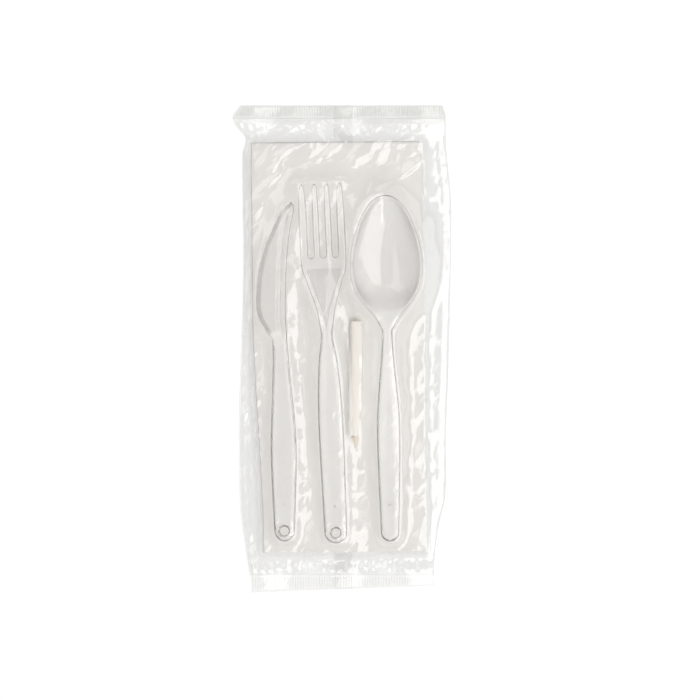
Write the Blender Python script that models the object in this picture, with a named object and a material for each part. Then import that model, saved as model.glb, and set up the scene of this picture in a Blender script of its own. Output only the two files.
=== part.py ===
"""Takeaway cutlery set: clear plastic knife, fork and spoon and a toothpick in a paper sleeve, lying on a
folded paper napkin, all sealed in one film pack.

Metres, +Z up. The pack lies flat on Z = 0 with its length along Y and its knife on the -X side. The origin
is on that plane, under the middle of the pack.
"""
import math

import bmesh
import bpy
import numpy as np
from mathutils import Vector
from mathutils.bvhtree import BVHTree

# Gap kept between pieces that touch, and how far a cutter reaches past what it cuts
REST_GAP = 0.0003
CUTTER_REACH = 0.0020

# Napkin: a two-ply sheet folded in half, in half again, and across, so that eight leaves lie on each other
NAPKIN_WIDTH = 0.0840
NAPKIN_LENGTH = 0.2012
SHEET_THICKNESS = 0.0002
LEAF_GAP = 0.00012
LOOSE_END_STEP = 0.0012
FOLD_DRIFT = 0.0046
NAPKIN_TURN = math.radians(0.45)

# Knife
KNIFE_HANDLE_LENGTH = 0.0997
BLADE_LENGTH = 0.0664
BLADE_BELLY = 0.0138
SPINE_REACH = 0.00465
KNIFE_HANDLE_WIDTH = 0.0128
KNIFE_HANDLE_THICKNESS = 0.0034
BLADE_THICKNESS = 0.0015
BEVEL_WIDTH = 0.0027
CUTTING_EDGE_THICKNESS = 0.0005
BLADE_BLEND = 0.0100
SPINE_RIB_WIDTH = 0.0021
SPINE_RIB_THICKNESS = 0.0025

# Fork
FORK_HANDLE_LENGTH = 0.1017
FORK_HEAD_WIDTH = 0.0223
FORK_NECK_WIDTH = 0.0059
FORK_HANDLE_WIDTH = 0.0122
FORK_HANDLE_THICKNESS = 0.0032
FORK_HEAD_THICKNESS = 0.0018
TINE_LENGTH = 0.0362
OUTER_TINE_WIDTH = 0.0037
INNER_TINE_WIDTH = 0.0030
TINE_TIP_WIDTH = 0.0017
PALM_LENGTH = 0.0240
PALM_RIM_WIDTH = 0.0013
PALM_DEPTH = 0.0006
PALM_EDGE_STEP = 0.0005
PALM_BELOW_TINES = 0.0050
FORK_FLARE_LENGTH = 0.0380
FORK_NECK_HEIGHT = 0.0046
TINE_TIP_HEIGHT = 0.0042

# Spoon
SPOON_HANDLE_LENGTH = 0.1037
BOWL_LENGTH = 0.0656
BOWL_WIDTH = 0.0352
BOWL_DEPTH = 0.0066
BOWL_WALL = 0.0011
BOWL_LIP_WIDTH = 0.0009
BOWL_BLEND = 0.0160
SPOON_NECK_WIDTH = 0.0052
SPOON_HANDLE_WIDTH = 0.0114
SPOON_HANDLE_END_WIDTH = 0.0082
SPOON_HANDLE_THICKNESS = 0.0032

# Handles of all three
HANDLE_EDGE_THICKNESS = 0.0014
HANDLE_END_RADIUS = 0.0050
HANDLE_HOLE_RADIUS = 0.0022
PIN_MARK_RADIUS = 0.0007
PIN_MARK_DEPTH = 0.0003
PIN_MARK_FROM_END = 0.0181

# Toothpick and its open-ended paper sleeve
TOOTHPICK_LENGTH = 0.0640
TOOTHPICK_RADIUS = 0.0010
TOOTHPICK_POINT_LENGTH = 0.0070
SLEEVE_LENGTH = 0.0560
SLEEVE_WIDTH = 0.0060
SLEEVE_PAPER = 0.00012
TOOTHPICK_SHOWING = 0.0055

# Where they lie
KNIFE_INSET = 0.0018
KNIFE_TO_FORK = 0.0033
FORK_TO_SPOON = 0.0019
FORK_TO_SLEEVE = 0.0020
HANDLE_ENDS_INSET = 0.0056
FORK_END_INSET = 0.0047
SLEEVE_ABOVE_HANDLE_ENDS = 0.0461
FORK_TURN = math.radians(2.6)
SPOON_TURN = math.radians(0.85)
SLEEVE_TURN = math.radians(-0.6)

# Film pack
FILM_THICKNESS = 0.00005
SIDE_FOLD_HEIGHT = 0.0006
LEFT_ROOM = 0.0096
RIGHT_ROOM = 0.0134
TOP_ROOM = 0.0118
BOTTOM_ROOM = 0.0112
TOP_SEAL_WIDTH = 0.0059
BOTTOM_SEAL_WIDTH = 0.0083
BOTTOM_CUT_SLANT = 0.0034
SEAL_HEIGHT = 0.0017
SEAL_WAVE = 0.0009
FIN_WIDTH = 0.0090
FIN_FROM_MIDDLE = 0.0048
GATHER_HEIGHT = 0.0009
CRUMPLE_HEIGHT = 0.0006
VENT_RADIUS = 0.0010
FILM_CLEARANCE = 0.0004
EDGE_WANDER = 0.0088

# How far the pack's long edges stand in from its widest line, as a share of EDGE_WANDER, against the
# share of the length from the top
LEFT_EDGE = ((0.0, 0.39), (0.02, 0.0), (0.042, 0.14), (0.066, 0.67), (0.103, 0.50), (0.32, 0.56),
             (0.52, 0.42), (0.67, 0.33), (0.82, 0.39), (0.89, 0.61), (1.0, 1.0))
RIGHT_EDGE = ((0.0, 0.50), (0.02, 0.33), (0.08, 0.31), (0.18, 0.05), (0.23, 0.0), (0.32, 0.03),
              (0.56, 0.19), (0.67, 0.31), (0.80, 0.34), (0.86, 0.69), (0.92, 0.92), (1.0, 0.98))

# Grid that the film is laid out on
COLUMNS_LEFT_OF_FIN = 10
FIN_COLUMNS = 2
COLUMNS_RIGHT_OF_SEAM = 10
PANEL_ROWS = 42
SETTLING_ROUNDS = 24


def curve_through(points, t):
    """Value at t on a smooth curve through (t, value) points, flat at its two ends."""
    ts = np.array([p[0] for p in points])
    vs = np.array([p[1] for p in points])
    slopes = np.zeros(len(points))
    slopes[1:-1] = (vs[2:] - vs[:-2]) / (ts[2:] - ts[:-2])
    t = min(max(t, ts[0]), ts[-1])
    i = min(int(np.searchsorted(ts, t, side="right")) - 1, len(points) - 2)
    step = ts[i + 1] - ts[i]
    s = (t - ts[i]) / step
    ease = s * s * (3 - 2 * s)
    start = slopes[i] * step * s * (1 - s) ** 2
    end = slopes[i + 1] * step * s * s * (1 - s)
    return float(vs[i] * (1 - ease) + vs[i + 1] * ease + start - end)


def smooth_step(low, high, t):
    s = min(max((t - low) / (high - low), 0.0), 1.0)
    return s * s * (3 - 2 * s)


def rounded(share):
    """Height of a unit half circle at a share of its radius."""
    return math.sqrt(max(0.0, 1 - share * share))


def plain_material(name, color, roughness, transmission=0.0):
    material = bpy.data.materials.new(name)
    material.use_nodes = True
    shader = material.node_tree.nodes["Principled BSDF"]
    shader.inputs["Base Color"].default_value = (*color, 1.0)
    shader.inputs["Roughness"].default_value = roughness
    shader.inputs["Metallic"].default_value = 0.0
    shader.inputs["Transmission Weight"].default_value = transmission
    return material


def add_piece(name, bm, material, place=(0.0, 0.0, 0.0), turn=0.0, sharp=math.radians(35)):
    mesh = bpy.data.meshes.new(name)
    bm.to_mesh(mesh)
    bm.free()
    mesh.shade_smooth()
    mesh.set_sharp_from_angle(angle=sharp)
    mesh.materials.append(material)
    piece = bpy.data.objects.new(name, mesh)
    piece.location = place
    piece.rotation_euler.z = turn
    bpy.context.collection.objects.link(piece)
    return piece


def add_plate(name, top, bottom, missing, material, place, turn):
    """Closed solid between two grids of points, top[row][column] and bottom[row][column].

    Cells in missing, as (row, column), are left open right through.
    """
    bm = bmesh.new()
    upper = [[bm.verts.new(p) for p in row] for row in top]
    lower = [[bm.verts.new(p) for p in row] for row in bottom]
    last_row, last_column = len(top) - 1, len(top[0]) - 1

    def solid(r, c):
        return 0 <= r < last_row and 0 <= c < last_column and (r, c) not in missing

    for r in range(last_row):
        for c in range(last_column):
            if not solid(r, c):
                continue
            corners = ((r, c), (r, c + 1), (r + 1, c + 1), (r + 1, c))
            beyond = ((r - 1, c), (r, c + 1), (r + 1, c), (r, c - 1))
            bm.faces.new([upper[a][b] for a, b in corners])
            bm.faces.new([lower[a][b] for a, b in reversed(corners)])
            for side in range(4):
                if not solid(*beyond[side]):
                    (a, b), (d, e) = corners[side], corners[(side + 1) % 4]
                    bm.faces.new([upper[d][e], upper[a][b], lower[a][b], lower[d][e]])
    loose = [v for v in bm.verts if not v.link_faces]
    bmesh.ops.delete(bm, geom=loose, context="VERTS")
    bmesh.ops.remove_doubles(bm, verts=bm.verts, dist=1e-6)
    return add_piece(name, bm, material, place, turn)


def cut_round(piece, cutter_name, radius, at, low, high, facets=20):
    """Cut an upright round hole through a piece, between two heights in the piece's own frame."""
    bm = bmesh.new()
    bmesh.ops.create_cone(bm, cap_ends=True, segments=facets, radius1=radius, radius2=radius,
                          depth=high - low)
    bmesh.ops.translate(bm, verts=bm.verts, vec=(at[0], at[1], (low + high) / 2))
    mesh = bpy.data.meshes.new(cutter_name)
    bm.to_mesh(mesh)
    bm.free()
    cutter = bpy.data.objects.new(cutter_name, mesh)
    cutter.parent = piece
    cutter.hide_render = True
    cutter.display_type = "WIRE"
    bpy.context.collection.objects.link(cutter)
    cut = piece.modifiers.new(cutter_name, "BOOLEAN")
    cut.operation = "DIFFERENCE"
    cut.solver = "EXACT"
    cut.object = cutter


def end_rows(radius, count):
    """Distances from a round end, close together where the outline turns fastest."""
    return [radius * (1 - math.cos(math.pi / 2 * i / count)) for i in range(count)]


def round_end(y, radius):
    """Share of the full width at a distance y from a round end."""
    return rounded(1 - min(y / radius, 1.0))


# Layout of the pack, left to right and bottom to top, worked out from its left and bottom edges
knife_length = KNIFE_HANDLE_LENGTH + BLADE_LENGTH
fork_length = FORK_HANDLE_LENGTH + FORK_FLARE_LENGTH + TINE_LENGTH
spoon_length = SPOON_HANDLE_LENGTH + BOWL_LENGTH
knife_axis = KNIFE_INSET + BLADE_BELLY
fork_head_middle = knife_axis + SPINE_REACH + KNIFE_TO_FORK + FORK_HEAD_WIDTH / 2
fork_axis = fork_head_middle + math.sin(FORK_TURN) * (fork_length - TINE_LENGTH)
bowl_middle = fork_head_middle + FORK_HEAD_WIDTH / 2 + FORK_TO_SPOON + BOWL_WIDTH / 2
spoon_axis = bowl_middle + math.sin(SPOON_TURN) * (spoon_length - BOWL_LENGTH / 2)
fork_handle_middle = fork_axis - math.sin(FORK_TURN) * SLEEVE_ABOVE_HANDLE_ENDS
sleeve_axis = fork_handle_middle + (FORK_HANDLE_WIDTH + SLEEVE_WIDTH) / 2 + FORK_TO_SLEEVE

contents_width = max(NAPKIN_WIDTH, bowl_middle + BOWL_WIDTH / 2)
contents_length = max(NAPKIN_LENGTH, HANDLE_ENDS_INSET + max(knife_length, spoon_length),
                      FORK_END_INSET + fork_length)
pack_width = LEFT_ROOM + contents_width + RIGHT_ROOM
pack_length = BOTTOM_SEAL_WIDTH + BOTTOM_ROOM + contents_length + TOP_ROOM + TOP_SEAL_WIDTH
contents_left = LEFT_ROOM - pack_width / 2
contents_bottom = BOTTOM_SEAL_WIDTH + BOTTOM_ROOM - pack_length / 2

# Heights, from the floor up: fin, gap, film, gap, napkin, gap, cutlery
fin_thickness = 2 * FILM_THICKNESS
film_over_fin = fin_thickness + REST_GAP
napkin_bottom = film_over_fin + FILM_THICKNESS + REST_GAP
four_leaves = 4 * SHEET_THICKNESS + 3 * LEAF_GAP
napkin_thickness = 2 * four_leaves + LEAF_GAP
cutlery_bottom = napkin_bottom + napkin_thickness + REST_GAP


# Napkin

def sheet_section():
    """Closed outline of the sheet across the napkin, folded twice, as (side, x from that side, height).

    The sheet starts at the loose edge of the top leaf on the right, goes round the outer fold on the left to
    the bottom leaf, back up round the fold on the right, and round the inner fold on the left to its other
    loose edge.
    """
    pitch = SHEET_THICKNESS + LEAF_GAP
    edge = SHEET_THICKNESS / 2
    level = [edge + i * pitch for i in range(4)]
    outer, inner, turns = 1.5 * pitch, 0.5 * pitch, 4
    line = [("right", -inner - edge, level[3])]
    folds = (("left", 1, outer, math.pi / 2, 1, (level[0] + level[3]) / 2),
             ("right", -1, inner, -math.pi / 2, 1, (level[0] + level[1]) / 2),
             ("left", 1, inner, -math.pi / 2, -1, (level[1] + level[2]) / 2))
    for side, inward, radius, start, way, height in folds:
        centre = inward * ((outer if side == "left" else inner) + edge)
        for i in range(turns + 1):
            a = start + way * math.pi * i / turns
            line.append((side, centre + radius * math.cos(a), height + radius * math.sin(a)))
    line.append(("right", -inner - edge, level[2]))
    edges = {"left": -NAPKIN_WIDTH / 2, "right": NAPKIN_WIDTH / 2}
    flat = [Vector((edges[side] + x, z)) for side, x, z in line]
    faces = [[], []]
    for i, (side, x, z) in enumerate(line):
        along = (flat[min(i + 1, len(flat) - 1)] - flat[max(i - 1, 0)]).normalized()
        for face, way in zip(faces, (1, -1)):
            face.append((side, x - along.y * edge * way, z + along.x * edge * way))
    return faces[1] + faces[0][::-1]


def build_napkin():
    section = sheet_section()
    around = four_leaves + LEAF_GAP / 2
    fold_start = NAPKIN_LENGTH / 2 - around
    rows, turns = 10, 5
    first, last = -NAPKIN_LENGTH / 2, LOOSE_END_STEP - NAPKIN_LENGTH / 2
    stations = [(first + (fold_start - first) * i / rows, 0.0) for i in range(rows)]
    stations += [(fold_start, math.pi * i / turns) for i in range(turns + 1)]
    stations += [(fold_start + (last - fold_start) * i / rows, math.pi) for i in range(1, rows + 1)]
    bm = bmesh.new()
    rings = []
    for y, a in stations:
        share = y / NAPKIN_LENGTH + 0.5
        sides = {"left": FOLD_DRIFT * smooth_step(-0.62, 0.0, -share) - NAPKIN_WIDTH / 2,
                 "right": NAPKIN_WIDTH / 2}
        ring = []
        for side, x, height in section:
            reach = around - height
            ring.append(bm.verts.new((sides[side] + x, y + reach * math.sin(a),
                                      around - reach * math.cos(a))))
        rings.append(ring)
    count = len(section)
    for low, high in zip(rings, rings[1:]):
        for i in range(count):
            j = (i + 1) % count
            bm.faces.new([low[i], high[i], high[j], low[j]])
    for ring in (rings[0], rings[-1]):
        for i in range(count // 2 - 1):
            bm.faces.new([ring[i], ring[i + 1], ring[count - 2 - i], ring[count - 1 - i]])
    bmesh.ops.recalc_face_normals(bm, faces=bm.faces)
    place = (contents_left + NAPKIN_WIDTH / 2, contents_bottom + NAPKIN_LENGTH / 2, napkin_bottom)
    return add_piece("napkin", bm, plain_material("napkin_paper", (0.86, 0.85, 0.83), 0.95), place,
                     NAPKIN_TURN, math.radians(50))


# Knife: outlines are shares of the handle's half width, the blade's belly or the spine's reach, against
# the share of the way from the handle's end to the notch, or from the notch to the tip
KNIFE_HANDLE_LEFT = ((0.0, 0.72), (0.09, 0.80), (0.25, 0.93), (0.45, 1.04), (0.6, 1.0), (0.75, 0.92),
                     (0.93, 0.88), (1.0, 0.92))
KNIFE_HANDLE_RIGHT = ((0.0, 0.78), (0.09, 0.83), (0.25, 0.90), (0.40, 0.95), (0.52, 0.90), (0.65, 0.74),
                      (0.80, 0.48), (0.95, 0.28), (1.0, 0.20))
CUTTING_EDGE = ((0.0, 0.427), (0.012, 0.54), (0.075, 0.72), (0.135, 0.89), (0.20, 0.985), (0.27, 1.0),
                (0.36, 0.98), (0.47, 0.93), (0.63, 0.755), (0.82, 0.384), (0.92, 0.12), (0.97, -0.08),
                (1.0, -0.22))
SPINE_LINE = ((0.0, 0.275), (0.16, 0.14), (0.32, 0.14), (0.56, 0.26), (0.69, 0.43), (0.81, 0.65),
              (0.92, 0.94), (0.97, 1.0), (1.0, 0.72))


def build_knife():
    notch = KNIFE_HANDLE_LENGTH
    rows = end_rows(HANDLE_END_RADIUS, 5)
    rows += [HANDLE_END_RADIUS + (notch - HANDLE_END_RADIUS) * i / 11 for i in range(12)]
    rows += [notch + BLADE_LENGTH * s for s in (0.012, 0.04, 0.075, 0.11, 0.15, 0.2, 0.27, 0.36, 0.46,
                                                0.56, 0.66, 0.75, 0.83, 0.9, 0.95, 0.98, 1.0)]
    handle_half = KNIFE_HANDLE_WIDTH / 2
    middle = KNIFE_HANDLE_THICKNESS / 2
    top, bottom = [], []
    for y in rows:
        on_blade = smooth_step(notch - 0.6 * BLADE_BLEND, notch + 0.4 * BLADE_BLEND, y)
        if y <= notch:
            share = y / notch
            closing = round_end(y, HANDLE_END_RADIUS)
            left = -handle_half * curve_through(KNIFE_HANDLE_LEFT, share) * closing
            right = handle_half * curve_through(KNIFE_HANDLE_RIGHT, share) * closing
        else:
            share = (y - notch) / BLADE_LENGTH
            left = -BLADE_BELLY * curve_through(CUTTING_EDGE, share)
            right = SPINE_REACH * curve_through(SPINE_LINE, share)
        width = right - left
        bevel = min(BEVEL_WIDTH / width, 0.3) if width > 0 else 0.3
        rib = min(SPINE_RIB_WIDTH / width, 0.3) if width > 0 else 0.3
        step = 0.06
        handle_places = (0.0, 0.07, 0.22, 0.4, 0.6, 0.78, 0.93, 1.0)
        blade_places = (0.0, bevel / 2, bevel, 0.42, 1 - rib - step, 1 - rib, 1 - rib / 2, 1.0)
        blade_half = (CUTTING_EDGE_THICKNESS, (CUTTING_EDGE_THICKNESS + BLADE_THICKNESS) / 2,
                      BLADE_THICKNESS, BLADE_THICKNESS, BLADE_THICKNESS, SPINE_RIB_THICKNESS,
                      SPINE_RIB_THICKNESS, SPINE_RIB_THICKNESS)
        uppers, lowers = [], []
        for h, b, thick in zip(handle_places, blade_places, blade_half):
            crown = rounded(2 * h - 1) * round_end(y, HANDLE_END_RADIUS)
            handle_thick = HANDLE_EDGE_THICKNESS
            handle_thick += (KNIFE_HANDLE_THICKNESS - HANDLE_EDGE_THICKNESS) * crown
            x = left + width * (h + (b - h) * on_blade)
            half = (handle_thick + (thick - handle_thick) * on_blade) / 2
            uppers.append((x, y, middle + half))
            lowers.append((x, y, middle - half))
        top.append(uppers)
        bottom.append(lowers)
    place = (contents_left + knife_axis, contents_bottom + HANDLE_ENDS_INSET, cutlery_bottom)
    knife = add_plate("knife", top, bottom, (), clear_plastic, place, 0.0)
    cut_round(knife, "knife_hang_hole", HANDLE_HOLE_RADIUS, (0, HANDLE_END_RADIUS), -CUTTER_REACH,
              KNIFE_HANDLE_THICKNESS + CUTTER_REACH)
    cut_round(knife, "knife_pin_mark", PIN_MARK_RADIUS, (0, PIN_MARK_FROM_END),
              KNIFE_HANDLE_THICKNESS - PIN_MARK_DEPTH, KNIFE_HANDLE_THICKNESS + CUTTER_REACH, 10)
    return knife


# Fork: share of the way from neck width to full width, against share of the handle and of the flare
FORK_HANDLE_OUTLINE = ((0.0, 0.80), (0.10, 0.86), (0.26, 0.92), (0.46, 1.0), (0.59, 1.0), (0.74, 0.84),
                       (0.89, 0.46), (1.0, 0.0))
FORK_FLARE_OUTLINE = ((0.0, 0.0), (0.22, 0.11), (0.39, 0.25), (0.54, 0.47), (0.71, 0.725), (0.82, 0.91),
                      (0.92, 0.985), (1.0, 1.0))
# Height of its middle line: share of the length, share of the neck's height
FORK_PROFILE = ((0.0, 0.0), (0.2, 0.17), (0.4, 0.66), (0.52, 0.97), (0.58, 1.0), (0.66, 0.72), (0.74, 0.2),
                (0.80, 0.0))


def build_fork():
    neck = FORK_HANDLE_LENGTH
    root = neck + FORK_FLARE_LENGTH
    palm_top = root - PALM_BELOW_TINES
    palm_bottom = palm_top - PALM_LENGTH
    rows = end_rows(HANDLE_END_RADIUS, 5)
    rows += [HANDLE_END_RADIUS + (neck - HANDLE_END_RADIUS) * i / 11 for i in range(12)]
    rows += [neck + (palm_bottom - neck) * s for s in (0.35, 0.7, 1.0)]
    rows += [palm_bottom + (palm_top - palm_bottom) * s for s in (0.08, 0.3, 0.5, 0.7, 0.85)]
    rows += [palm_top - PALM_EDGE_STEP, palm_top, (palm_top + root) / 2, root]
    root_row = len(rows) - 1
    rows += [root + TINE_LENGTH * s for s in (0.12, 0.3, 0.5, 0.7, 0.84, 0.93, 0.98, 1.0)]

    half_head = FORK_HEAD_WIDTH / 2
    slot = (FORK_HEAD_WIDTH - 2 * OUTER_TINE_WIDTH - 2 * INNER_TINE_WIDTH) / 3
    tine_starts, x = [], -half_head
    for width in (OUTER_TINE_WIDTH, INNER_TINE_WIDTH, INNER_TINE_WIDTH, OUTER_TINE_WIDTH):
        tine_starts.append((x, width))
        x += width + slot
    places = []
    for start, width in tine_starts:
        for s in (0.0, 0.35, 0.65, 1.0):
            places.append((start + width * s, start + width / 2, width, s))
    slot_columns = (3, 7, 11)
    missing = {(r, c) for r in range(root_row, len(rows) - 1) for c in slot_columns}

    top, bottom = [], []
    for y in rows:
        along = y / fork_length
        if y <= neck:
            share = curve_through(FORK_HANDLE_OUTLINE, y / neck)
            half = FORK_NECK_WIDTH / 2 + (FORK_HANDLE_WIDTH - FORK_NECK_WIDTH) / 2 * share
            half *= round_end(y, HANDLE_END_RADIUS)
        else:
            share = curve_through(FORK_FLARE_OUTLINE, min((y - neck) / FORK_FLARE_LENGTH, 1.0))
            half = (FORK_NECK_WIDTH + (FORK_HEAD_WIDTH - FORK_NECK_WIDTH) * share) / 2
        middle = FORK_NECK_HEIGHT * curve_through(FORK_PROFILE, along)
        on_tines = max((y - root) / TINE_LENGTH, 0.0)
        middle += TINE_TIP_HEIGHT * on_tines ** 1.6
        on_head = smooth_step(neck, palm_bottom, y)
        in_palm = smooth_step(palm_bottom, palm_bottom + 4 * PALM_EDGE_STEP, y)
        in_palm *= 1 - smooth_step(palm_top - PALM_EDGE_STEP, palm_top, y)
        tapering = smooth_step(0.55, 1.0, on_tines) * 0.6 + smooth_step(0.9, 1.0, on_tines) * 0.4
        uppers, lowers = [], []
        for head_x, tine_middle, tine_width, s in places:
            f = head_x / half_head
            crown = rounded(f) * round_end(y, HANDLE_END_RADIUS)
            handle_thick = HANDLE_EDGE_THICKNESS
            handle_thick += (FORK_HANDLE_THICKNESS - HANDLE_EDGE_THICKNESS) * crown
            edge_of_tine = 1.0 if s in (0.0, 1.0) else 0.0
            tine_thick = FORK_HEAD_THICKNESS * (1 - 0.35 * edge_of_tine * min(on_tines * 8, 1.0))
            tine_thick *= 1 - 0.35 * tapering
            thick = handle_thick + (tine_thick - handle_thick) * on_head
            x = f * half
            narrowed = tine_middle + (head_x - tine_middle) * TINE_TIP_WIDTH / tine_width
            x += (narrowed - head_x) * tapering
            floor_of_palm = PALM_DEPTH * in_palm if abs(f) * half < half - PALM_RIM_WIDTH else 0.0
            rise = middle + FORK_HANDLE_THICKNESS / 2
            uppers.append((x, y, rise + thick / 2 - floor_of_palm))
            lowers.append((x, y, rise - thick / 2))
        top.append(uppers)
        bottom.append(lowers)
    lowest = min(p[2] for row in bottom for p in row)
    place = (contents_left + fork_axis, contents_bottom + FORK_END_INSET, cutlery_bottom - lowest)
    fork = add_plate("fork", top, bottom, missing, clear_plastic, place, FORK_TURN)
    cut_round(fork, "fork_hang_hole", HANDLE_HOLE_RADIUS, (0, HANDLE_END_RADIUS), -CUTTER_REACH,
              FORK_HANDLE_THICKNESS + CUTTER_REACH)
    cut_round(fork, "fork_pin_mark", PIN_MARK_RADIUS, (0, PIN_MARK_FROM_END),
              FORK_HANDLE_THICKNESS - PIN_MARK_DEPTH, FORK_HANDLE_THICKNESS + CUTTER_REACH, 10)
    return fork


# Spoon: share of the way from end or neck width to full width along the handle, and of the bowl's half
# width along the bowl from its neck
SPOON_BOWL_OUTLINE = ((0.0, 0.18), (0.08, 0.31), (0.14, 0.48), (0.215, 0.71), (0.29, 0.88), (0.40, 0.99),
                      (0.51, 1.0), (0.60, 0.965), (0.69, 0.89), (0.78, 0.77), (0.87, 0.60), (0.94, 0.41),
                      (0.98, 0.235), (1.0, 0.0))
# Height of the rim's plane: share of the length, share of the bowl's depth
SPOON_PROFILE = ((0.0, 0.0), (0.2, 0.14), (0.42, 0.62), (0.56, 1.02), (0.63, 1.12), (0.72, 1.03),
                 (0.85, 0.98), (1.0, 0.97))


def build_spoon():
    neck = SPOON_HANDLE_LENGTH
    end_radius = SPOON_HANDLE_END_WIDTH / 2
    widest = 0.52 * neck
    rows = end_rows(end_radius, 5)
    rows += [end_radius + (neck - end_radius) * i / 11 for i in range(12)]
    rows += [neck + BOWL_LENGTH * s for s in (0.05, 0.1, 0.15, 0.2, 0.26, 0.33, 0.41, 0.5, 0.59, 0.68, 0.76,
                                              0.83, 0.89, 0.935, 0.965, 0.985, 0.995, 1.0)]
    top, bottom = [], []
    for y in rows:
        along = y / spoon_length
        if y <= neck:
            if y < widest:
                narrow, share = SPOON_HANDLE_END_WIDTH, smooth_step(-0.3 * widest, widest, y)
            else:
                narrow, share = SPOON_NECK_WIDTH, 1 - smooth_step(widest, neck, y)
            half = (narrow + (SPOON_HANDLE_WIDTH - narrow) * share) / 2 * round_end(y, end_radius)
            in_bowl = 0.0
        else:
            t = (y - neck) / BOWL_LENGTH
            half = max(BOWL_WIDTH / 2 * curve_through(SPOON_BOWL_OUTLINE, t), 0.0)
            half = max(half, SPOON_NECK_WIDTH / 2 * (1 - smooth_step(0.0, 0.15, t)))
            in_bowl = smooth_step(0.06, 0.34, t) * rounded(max(t - 0.48, 0.0) / 0.52)
        rim = BOWL_DEPTH * curve_through(SPOON_PROFILE, along)
        on_handle = 1 - smooth_step(neck - 0.25 * BOWL_BLEND, neck + 0.75 * BOWL_BLEND, y)
        lip = 1 - min(BOWL_LIP_WIDTH / max(half, BOWL_LIP_WIDTH), 0.2)
        uppers, lowers = [], []
        inside_lip = [lip * s for s in (0.0, 0.28, 0.55, 0.8, 1.0)]
        for f in [-1.0] + [-s for s in inside_lip[:0:-1]] + inside_lip + [1.0]:
            handle_thick = HANDLE_EDGE_THICKNESS
            crown = rounded(f) * round_end(y, end_radius)
            handle_thick += (SPOON_HANDLE_THICKNESS - HANDLE_EDGE_THICKNESS) * crown
            thick = BOWL_WALL + (handle_thick - BOWL_WALL) * on_handle
            inside = min(abs(f) / lip, 1.0)
            hollow = BOWL_DEPTH * in_bowl * (1 - inside ** 2.2)
            z = rim + SPOON_HANDLE_THICKNESS / 2 - hollow
            uppers.append((f * half, y, z + thick / 2))
            lowers.append((f * half, y, z - thick / 2))
        top.append(uppers)
        bottom.append(lowers)
    lowest = min(p[2] for row in bottom for p in row)
    place = (contents_left + spoon_axis, contents_bottom + HANDLE_ENDS_INSET, cutlery_bottom - lowest)
    spoon = add_plate("spoon", top, bottom, (), clear_plastic, place, SPOON_TURN)
    cut_round(spoon, "spoon_pin_mark", PIN_MARK_RADIUS, (0, PIN_MARK_FROM_END),
              SPOON_HANDLE_THICKNESS - PIN_MARK_DEPTH, SPOON_HANDLE_THICKNESS + CUTTER_REACH, 10)
    return spoon


# Toothpick and sleeve

def build_toothpick_and_sleeve():
    """Both lie along Y from the toothpick's lower point, and share one place and turn."""
    inner_height = 2 * (TOOTHPICK_RADIUS + REST_GAP)
    place = (contents_left + sleeve_axis,
             contents_bottom + HANDLE_ENDS_INSET + SLEEVE_ABOVE_HANDLE_ENDS, cutlery_bottom)
    bm = bmesh.new()
    stations = ((0.0, 0.12), (TOOTHPICK_POINT_LENGTH * 0.4, 0.62), (TOOTHPICK_POINT_LENGTH, 1.0),
                (TOOTHPICK_LENGTH - TOOTHPICK_POINT_LENGTH, 1.0),
                (TOOTHPICK_LENGTH - TOOTHPICK_POINT_LENGTH * 0.4, 0.62), (TOOTHPICK_LENGTH, 0.12))
    facets = 12
    axis_height = SLEEVE_PAPER + inner_height / 2
    rings = []
    for y, share in stations:
        ring = []
        for i in range(facets):
            a = 2 * math.pi * i / facets
            x, z = TOOTHPICK_RADIUS * share * math.cos(a), TOOTHPICK_RADIUS * share * math.sin(a)
            ring.append(bm.verts.new((x, y, axis_height + z)))
        rings.append(ring)
    for low, high in zip(rings, rings[1:]):
        for i in range(facets):
            j = (i + 1) % facets
            bm.faces.new([low[i], high[i], high[j], low[j]])
    bm.faces.new(rings[0])
    bm.faces.new(rings[-1][::-1])
    bmesh.ops.recalc_face_normals(bm, faces=bm.faces)
    wood = plain_material("toothpick_wood", (0.80, 0.66, 0.47), 0.6)
    add_piece("toothpick", bm, wood, place, SLEEVE_TURN)

    half = SLEEVE_WIDTH / 2
    rise = (0.04, 0.10, 0.45, 0.9, 1.0, 0.9, 0.45, 0.10, 0.04)
    across = (-1.0, -0.72, -0.48, -0.24, 0.0, 0.24, 0.48, 0.72, 1.0)
    bm = bmesh.new()
    loops = []
    for y in (TOOTHPICK_SHOWING, TOOTHPICK_SHOWING + SLEEVE_LENGTH):
        inner = [(half * f, SLEEVE_PAPER + inner_height * r) for f, r in zip(across, rise)]
        inner += [(half * f, SLEEVE_PAPER) for f in reversed(across)]
        outer = [((half + SLEEVE_PAPER) * f, z + SLEEVE_PAPER) for f, (_, z) in zip(across, inner)]
        outer += [((half + SLEEVE_PAPER) * f, 0.0) for f in reversed(across)]
        loops.append([[bm.verts.new((x, y, z)) for x, z in line] for line in (inner, outer)])
    count = len(loops[0][0])
    for i in range(count):
        j = (i + 1) % count
        (near_in, near_out), (far_in, far_out) = loops
        bm.faces.new([near_in[i], near_in[j], far_in[j], far_in[i]])
        bm.faces.new([near_out[i], far_out[i], far_out[j], near_out[j]])
        bm.faces.new([near_in[i], near_out[i], near_out[j], near_in[j]])
        bm.faces.new([far_in[i], far_in[j], far_out[j], far_out[i]])
    bmesh.ops.recalc_face_normals(bm, faces=bm.faces)
    paper = plain_material("sleeve_paper", (0.92, 0.89, 0.84), 0.85)
    return add_piece("toothpick_sleeve", bm, paper, place, SLEEVE_TURN)


# Film

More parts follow.
